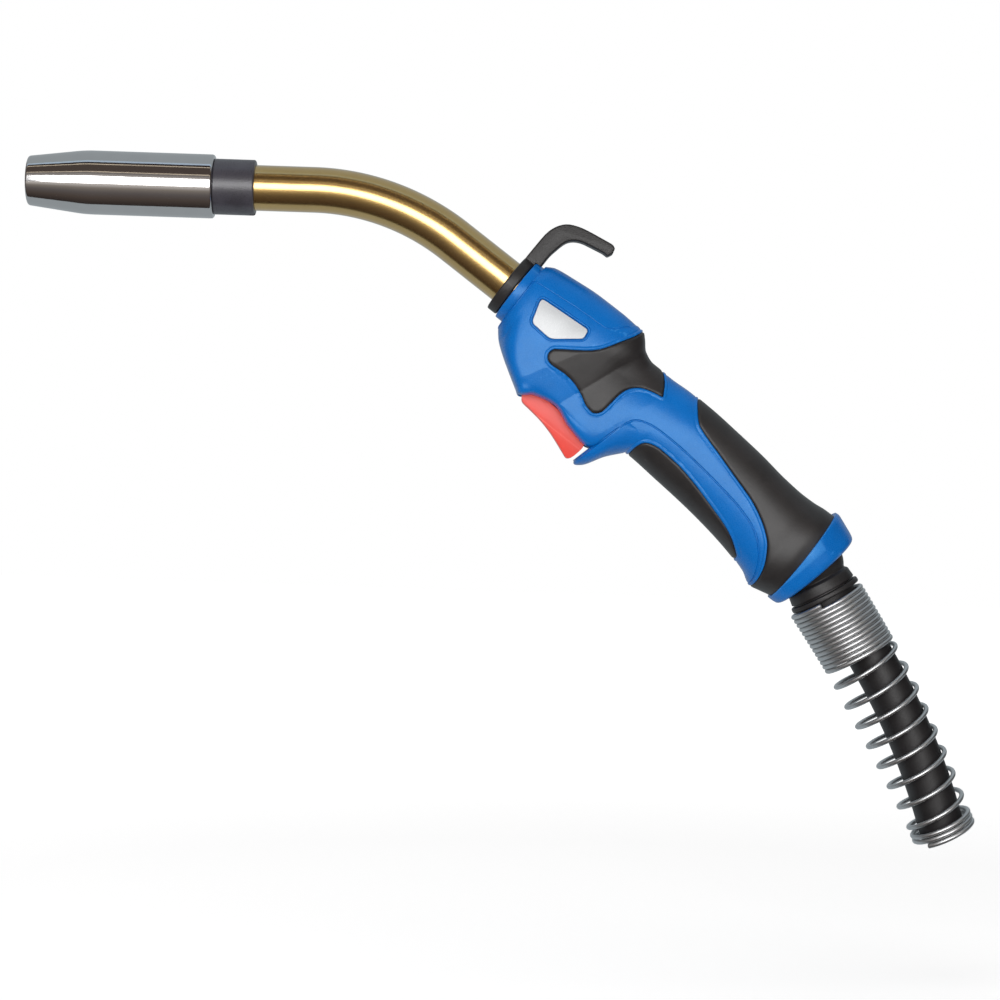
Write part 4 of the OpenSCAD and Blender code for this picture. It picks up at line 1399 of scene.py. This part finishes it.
@dataclass
class BallJoint(Group):
    """Slanted collar at the handle's rear, the ball sleeve in it and the rubber cable sleeve."""

    ball: float = 15.2
    gap: float = 0.3
    lip: float = 4.2
    rear: float = 4.65
    rear_face: float = 170.9
    spigot: Point = (-11.8, 4.05)
    core: float = 10.0
    core_bore: float = 7.0
    core_front: float = -12.0
    crown: Point = (47.0, 5.7)
    core_arc: float = 300.0
    arc_end: float = 106.0
    core_end: float = 12.0

    def collar(self) -> Piece:
        """Builds the collar: a turned flange cut square to the handle, and its spigot.

        Returns:
            The collar in the handle frame.
        """
        hollow = self.ball + self.gap
        lip_r = math.sqrt(hollow**2 - self.lip**2)
        arc = [(math.sqrt(hollow**2 - x * x), x, 0.0) for x in (3.4, 2.5, 1.5, 0.0)]
        corners = (
            (16.2, -9.6, 0), (23.7, -9.6, 0), (24.2, -8, 1.2), (22.9, -0.4, 1.5), (22.4, 2.2, 1.2),
            (21.7, 3.8, 1.0), (20.1, self.rear, 1.0), (lip_r + 0.9, self.rear, 0.35),
            (lip_r, self.lip, 0.1), *arc, (16.2, 0.0, 0),
        )
        flange = lathe("rear_flange", soften(corners), 160)
        place = FRAMES.at_ball(FRAMES.seat_tilt) @ ALONG_X
        flange.data.transform(place)
        face = self.rear_face
        combine(flange, block("front", (face - 60, -60, -80), (face, 60, 60)))
        round_edges(flange, 0.55, 3, 42.0)
        front, back = self.spigot
        outer, inner = hollow + 1.3, hollow + 0.1
        wall = (
            (inner - 1.4, front), (outer, front), (outer, back), (inner, back),
            (inner, front + 1.2), (inner - 1.4, front + 1.2),
        )
        tube = lathe("spigot", wall, 128)
        sphere = bpy.ops.mesh.primitive_uv_sphere_add
        combine(tube, added("ball_space", sphere, segments=96, ring_count=64, radius=hollow))
        tube.data.transform(place)
        combine(flange, tube, Boolean.JOIN)
        return flange

    def core_piece(self, name: str, grow: float, wall: float) -> Piece:
        """Sweeps the cable sleeve's form.

        Args:
            name: Name of the piece.
            grow: How much thicker than the sleeve it is.
            wall: Thickness of its wall, or 0 for a solid bar.

        Returns:
            The closed form in the sleeve's frame.
        """
        x, z = self.crown
        ahead = math.degrees(math.asin((x - self.core_front) / self.core_arc))
        behind = math.degrees(math.asin((self.arc_end - x) / self.core_arc))
        runs = (0.0, ahead + behind, self.core_end)
        piece = sweep(name, self.core + grow, 0.0, self.core_arc, runs, wall, 96)
        centre = shift(x, 0.0, z - self.core_arc)
        piece.data.transform(centre @ turned(-ahead) @ shift(0.0, 0.0, self.core_arc))
        return piece

    def ball_sleeve(self) -> Piece:
        """Builds the ball with its neck, bead and the spigot inside the spring.

        Returns:
            The ball sleeve in the sleeve's frame.
        """
        x0 = -FRAMES.sleeve_start
        places = (-10.9 + (6.0 + 10.9) * k / 21 for k in range(22))
        arc = [(math.sqrt(self.ball**2 - x * x), x0 + x, 0.0) for x in places]
        corners = (
            *arc, (13.2, -8.6, 0.5), (14.5, -7.4, 0.4), (15.1, -3.2, 0.3), (13.9, -3.0, 0.1),
            (13.9, -2.4, 0.1), (15.9, -2.2, 0.4), (16.1, -0.4, 0.5), (15.5, 0.0, 0.2),
            (13.2, 0.0, 0.2), (13.2, 5.6, 0.2), (12.8, 6.4, 0.2), (9.0, 6.4, 0),
            (9.0, x0 + 4.2, 0), (10.6, x0 + 4.2, 0),
        )
        piece = lathe("ball_with_bead", soften(corners, 4), 144)
        piece.data.transform(ALONG_X)
        combine(piece, self.core_piece("core_cut", 0.02, 0.0))
        return piece

    def build(self) -> None:
        """Builds and fits the joint's three visible pieces."""
        self.fitter.fit(self.collar(), FRAMES.handle(), "handle", "blue_housing", "rear_collar")
        place = FRAMES.sleeve()
        self.fitter.fit(self.ball_sleeve(), place, "sleeve", "black_plastic", "ball_sleeve")
        core = self.core_piece("rubber_sleeve", 0.0, self.core - self.core_bore)
        round_edges(core, 0.5, 3, 60.0)
        self.fitter.fit(core, place, "sleeve", "black_rubber", "cable_sleeve")


@dataclass
class BendSpring(Group):
    """Zinc plated bend spring: close turns, open turns and close turns again."""

    wire: float = 2.13
    first: float = 0.295
    close: Point = (13.455, 2.14)
    open_: Point = (8.0, 10.03)
    end: Point = (2.625, 2.3)
    radius: Point = (15.75, 13.3)
    swell: float = 0.4
    lean: float = 0.06
    tip: float = 0.08
    steps: int = 56

    def centre_line(self) -> list[Triple]:
        """Gives the wire's centre line.

        Returns:
            Its points in the sleeve's frame.
        """
        turns = self.close[0] + self.open_[0] + self.end[0]
        count = int(turns * self.steps)
        t = np.linspace(0.0, turns, count + 1)
        fine = np.linspace(0.0, turns, count * 4 + 1)
        opens, closes = self.close[0], self.close[0] + self.open_[0]
        pitches = [self.close[1], self.open_[1]]
        pitch = np.select([fine < opens, fine < closes], pitches, self.end[1])
        width = 2 * self.steps
        padded = np.concatenate([np.full(width, pitch[0]), pitch, np.full(width, pitch[-1])])
        pitch = np.convolve(padded, np.ones(width) / width, "same")[width:-width]
        along = np.concatenate([[0.0], np.cumsum((pitch[1:] + pitch[:-1]) / 2.0 * np.diff(fine))])
        x = np.interp(t, fine, along) + self.wire / 2.0
        front = np.clip(1.0 - x / 31.0, 0.0, 1.0)
        r = self.radius[0] + (self.radius[1] - self.radius[0]) * rise(x, 50.0, 60.0)
        r = r + self.swell * front
        bow = 1.5 - 2.7 * ((x - 45.0) / 65.0) ** 2 - 0.9 * front
        lean, tip = self.lean * rise(x, 41.0, 60.0), self.tip * rise(x, 28.0, 10.0)
        angle = 2.0 * math.pi * (t + self.first)
        x = x + r * (lean * np.cos(angle) + tip * np.sin(angle))
        points = zip(x, -r * np.sin(angle), r * np.cos(angle) + bow, strict=True)
        return [(float(a), float(b), float(c)) for a, b, c in points]

    def build(self) -> None:
        """Builds and fits the spring."""
        piece = wire("bend_spring_wire", self.centre_line(), self.wire / 2.0, 4)
        self.fitter.fit(piece, FRAMES.sleeve(), "sleeve", "zinc_steel", "bend_spring", 60.0)


# ---- Studio ----


class Tone(Enum):
    """Glow tones of the reflection cards, from paper down to soot; they paint the bands seen in
    reflections.
    """

    CREAM = "#F0E0C8"
    CHALK = "#D8D2CC"
    SKY = "#C4D8EC"
    PUTTY = "#BEB8B2"
    MIST = "#A8B0B4"
    CLAY = "#908880"
    SLATE = "#686260"
    UMBER = "#564C46"
    SOOT = "#342E2C"


@dataclass
class Studio:
    """Camera square to the torch's left side, soft lamps, pale floor and reflection cards."""

    floor_z: float = -0.22
    middle: Triple = (-0.09, 0.0, 0.0)
    eye: Triple = (-0.0878, -1.15, -0.021)
    roll: float = 1.9
    focal_mm: float = 94.1
    card_end: float = 1.9

    def camera(self) -> None:
        """Adds the camera."""
        scene = bpy.context.scene
        roll = math.radians(self.roll)
        lens = bpy.data.cameras.new("camera")
        lens.lens = self.focal_mm
        lens.sensor_width = 36.0
        camera = bpy.data.objects.new("camera", lens)
        scene.collection.objects.link(camera)
        right = Vector((math.cos(roll), 0.0, math.sin(roll)))
        up = Vector((-math.sin(roll), 0.0, math.cos(roll)))
        turn = Matrix((right, up, Vector((0.0, -1.0, 0.0)))).transposed().to_4x4()
        camera.matrix_world = Matrix.Translation(self.eye) @ turn
        scene.camera = camera

    def lamp(self, name: str, place: Triple, size: Point, power: float) -> None:
        """Adds a soft lamp that faces the torch.

        Args:
            name: Name of the lamp.
            place: Its middle.
            size: Its width and height.
            power: Its power in watts.
        """
        light = bpy.data.lights.new(name, "AREA")
        light.shape = "RECTANGLE"
        light.size, light.size_y = size
        light.energy = power
        lamp = bpy.data.objects.new(name, light)
        bpy.context.scene.collection.objects.link(lamp)
        aim = Vector(self.middle) - Vector(place)
        turn = aim.to_track_quat("-Z", "Y").to_matrix().to_4x4()
        lamp.matrix_world = Matrix.Translation(place) @ turn
        lamp.visible_glossy = name == "strip"

    def card(
        self, name: str, a: Point, b: Point, tones: tuple[Tone, Tone], x: float | None = None
    ) -> None:
        """Hangs a glowing card that only shows in reflections, where it paints a reflection band.

        Args:
            name: Name of the card and its material.
            a: Y and Z of one long edge, or of a low corner.
            b: Y and Z of the other long edge, or of the opposite corner.
            tones: Tones of the two edges. The card blends from one to the other.
            x: Place of a card that stands square to X.
        """
        card = added(name, bpy.ops.mesh.primitive_plane_add, size=1.0)
        end = self.card_end
        corners = ((-end, *a), (end, *a), (-end, *b), (end, *b))
        if x is not None:
            corners = ((x, *a), (x, b[0], a[1]), (x, a[0], b[1]), (x, *b))
        for vertex, corner in zip(card.data.vertices, corners, strict=True):
            vertex.co = corner
        paint = bpy.data.materials.new(name)
        tree = empty_tree(paint)
        place = add_node(tree, "TexCoord").outputs["Object"]
        parts = add_node(tree, "SeparateXYZ", {"Vector": place})
        across = 0 if abs(a[0] - b[0]) > abs(a[1] - b[1]) else 1
        where = ramp(tree, parts.outputs["YZ"[across]], (a[across], b[across]))
        tone = blend(tree, where, linear(tones[0].value), linear(tones[1].value))
        # The card glows in its tone: a painted reflection, seen only by glossy rays
        glow = add_node(tree, "Emission", {"Color": tone})
        add_node(tree, "OutputMaterial", {"Surface": glow.outputs["Emission"]})
        card.data.materials.append(paint)
        card.visible_camera = False
        card.visible_diffuse = False
        card.visible_shadow = False
        card.visible_transmission = False

    def cards(self) -> None:
        """Hangs glowing cards round the torch from above the strip lamp over the back to its foot;
        they paint the light and dark reflection bands on the metal and plastics.
        """
        floor = self.floor_z + 0.004
        cards = (
            ((-1.44, 0.56), (-1.28, 0.9), Tone.PUTTY, Tone.SLATE),
            ((-1.28, 0.9), (-1.24, 0.96), Tone.CREAM, Tone.CREAM),
            ((-1.24, 0.96), (-0.7, 1.44), Tone.UMBER, Tone.UMBER),
            ((-0.7, 1.44), (-0.63, 1.47), Tone.CREAM, Tone.CREAM),
            ((-0.63, 1.47), (-0.44, 1.55), Tone.SOOT, Tone.SOOT),
            ((-0.44, 1.55), (-0.26, 1.59), Tone.SKY, Tone.SKY),
            ((-0.26, 1.59), (0.6, 1.6), Tone.MIST, Tone.MIST),
            ((0.6, 1.6), (1.6, 1.3), Tone.MIST, Tone.MIST),
            ((1.6, 1.3), (1.7, floor), Tone.MIST, Tone.MIST),
            ((-1.5, -0.15), (-1.5, floor), Tone.CHALK, Tone.CHALK),
            ((-1.5, floor), (-1.0, floor), Tone.CHALK, Tone.PUTTY),
            ((-1.0, floor), (-0.7, floor), Tone.PUTTY, Tone.CLAY),
            ((-0.7, floor), (-0.37, floor), Tone.CLAY, Tone.SLATE),
            ((-0.37, floor), (-0.17, floor), Tone.SLATE, Tone.UMBER),
            ((-0.17, floor), (0.0, floor), Tone.UMBER, Tone.SOOT),
            ((0.0, floor), (1.7, floor), Tone.MIST, Tone.MIST),
        )
        for number, (a, b, start, end) in enumerate(cards):
            self.card(f"card_{number}", a, b, (start, end))
        end = self.card_end
        for name, x, tone in (("card_left", -end, Tone.SLATE), ("card_right", end, Tone.SOOT)):
            self.card(name, (-1.6, floor), (1.7, 1.6), (tone, tone), x)

    def floor(self) -> None:
        """Lays the pale floor, which shows white and keeps the torch's shadow."""
        floor = added("floor", bpy.ops.mesh.primitive_plane_add, size=9.0)
        floor.data.transform(shift(0.0, 0.0, self.floor_z))
        paint = bpy.data.materials.new("pale_floor")
        tree = empty_tree(paint)
        rays = add_node(tree, "LightPath")
        matt = add_node(tree, "BsdfDiffuse", {"Color": (0.86, 0.86, 0.86, 1.0)})
        place = add_node(tree, "TexCoord").outputs["Object"]
        away = add_node(tree, "VectorMath", {0: place}, operation="LENGTH")
        lift = ramp(tree, away.outputs["Value"], (0.45, 1.3), (0.4, 0.68))
        shown = maths(tree, "MULTIPLY", rays.outputs["Is Camera Ray"], lift)
        white = {"Color": (1.0, 1.0, 1.0, 1.0), "Strength": shown}
        glow = add_node(tree, "Emission", white)
        parts = {0: matt.outputs["BSDF"], 1: glow.outputs["Emission"]}
        both = add_node(tree, "AddShader", parts)
        add_node(tree, "OutputMaterial", {"Surface": both.outputs["Shader"]})
        floor.data.materials.append(paint)

    def world(self) -> None:
        """Makes the white surroundings, dimmer as light than as a background."""
        world = bpy.data.worlds.new("studio")
        bpy.context.scene.world = world
        tree = empty_tree(world)
        rays = add_node(tree, "LightPath").outputs
        seen = maths(tree, "MAXIMUM", rays["Is Camera Ray"], rays["Is Glossy Ray"])
        either = maths(tree, "MAXIMUM", seen, rays["Is Transmission Ray"])
        strength = ramp(tree, either, (0.0, 1.0), (0.45, 1.0))
        white = {"Color": (1.0, 1.0, 1.0, 1.0), "Strength": strength}
        background = add_node(tree, "Background", white)
        add_node(tree, "OutputWorld", {"Surface": background.outputs["Background"]})

    def build(self) -> None:
        """Sets up the whole studio."""
        self.camera()
        self.lamp("strip", (-0.2, -1.5, 0.203), (1.7, 0.7), 15.0)
        self.lamp("fill", (-0.1, -1.6, -0.05), (1.6, 1.0), 1.6)
        self.lamp("top", (-0.3, 0.2, 1.3), (1.6, 0.9), 4.0)
        self.floor()
        self.cards()
        self.world()
        bpy.context.scene.view_settings.view_transform = "Standard"


def main() -> None:
    """Builds the torch's pieces in order."""
    logging.basicConfig(level=logging.INFO, format="%(name)s %(message)s")
    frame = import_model()
    clear()
    Studio().build()
    fitter = Fitter({finish.name: finish.build() for finish in FINISHES})
    slots = {row["node"]: row["material_slot"] for row in frame["record"]["subparts"]}
    for name, node in frame["nodes"].items():
        fitter.dress(node, slots[name])
    for group in (Handle, NozzleEnd, Neck, Hook, Trigger, BallJoint, BendSpring):
        group(fitter).build()
    LOG.info("%d pieces", fitter.count)


if __name__ == "__main__":
    main()
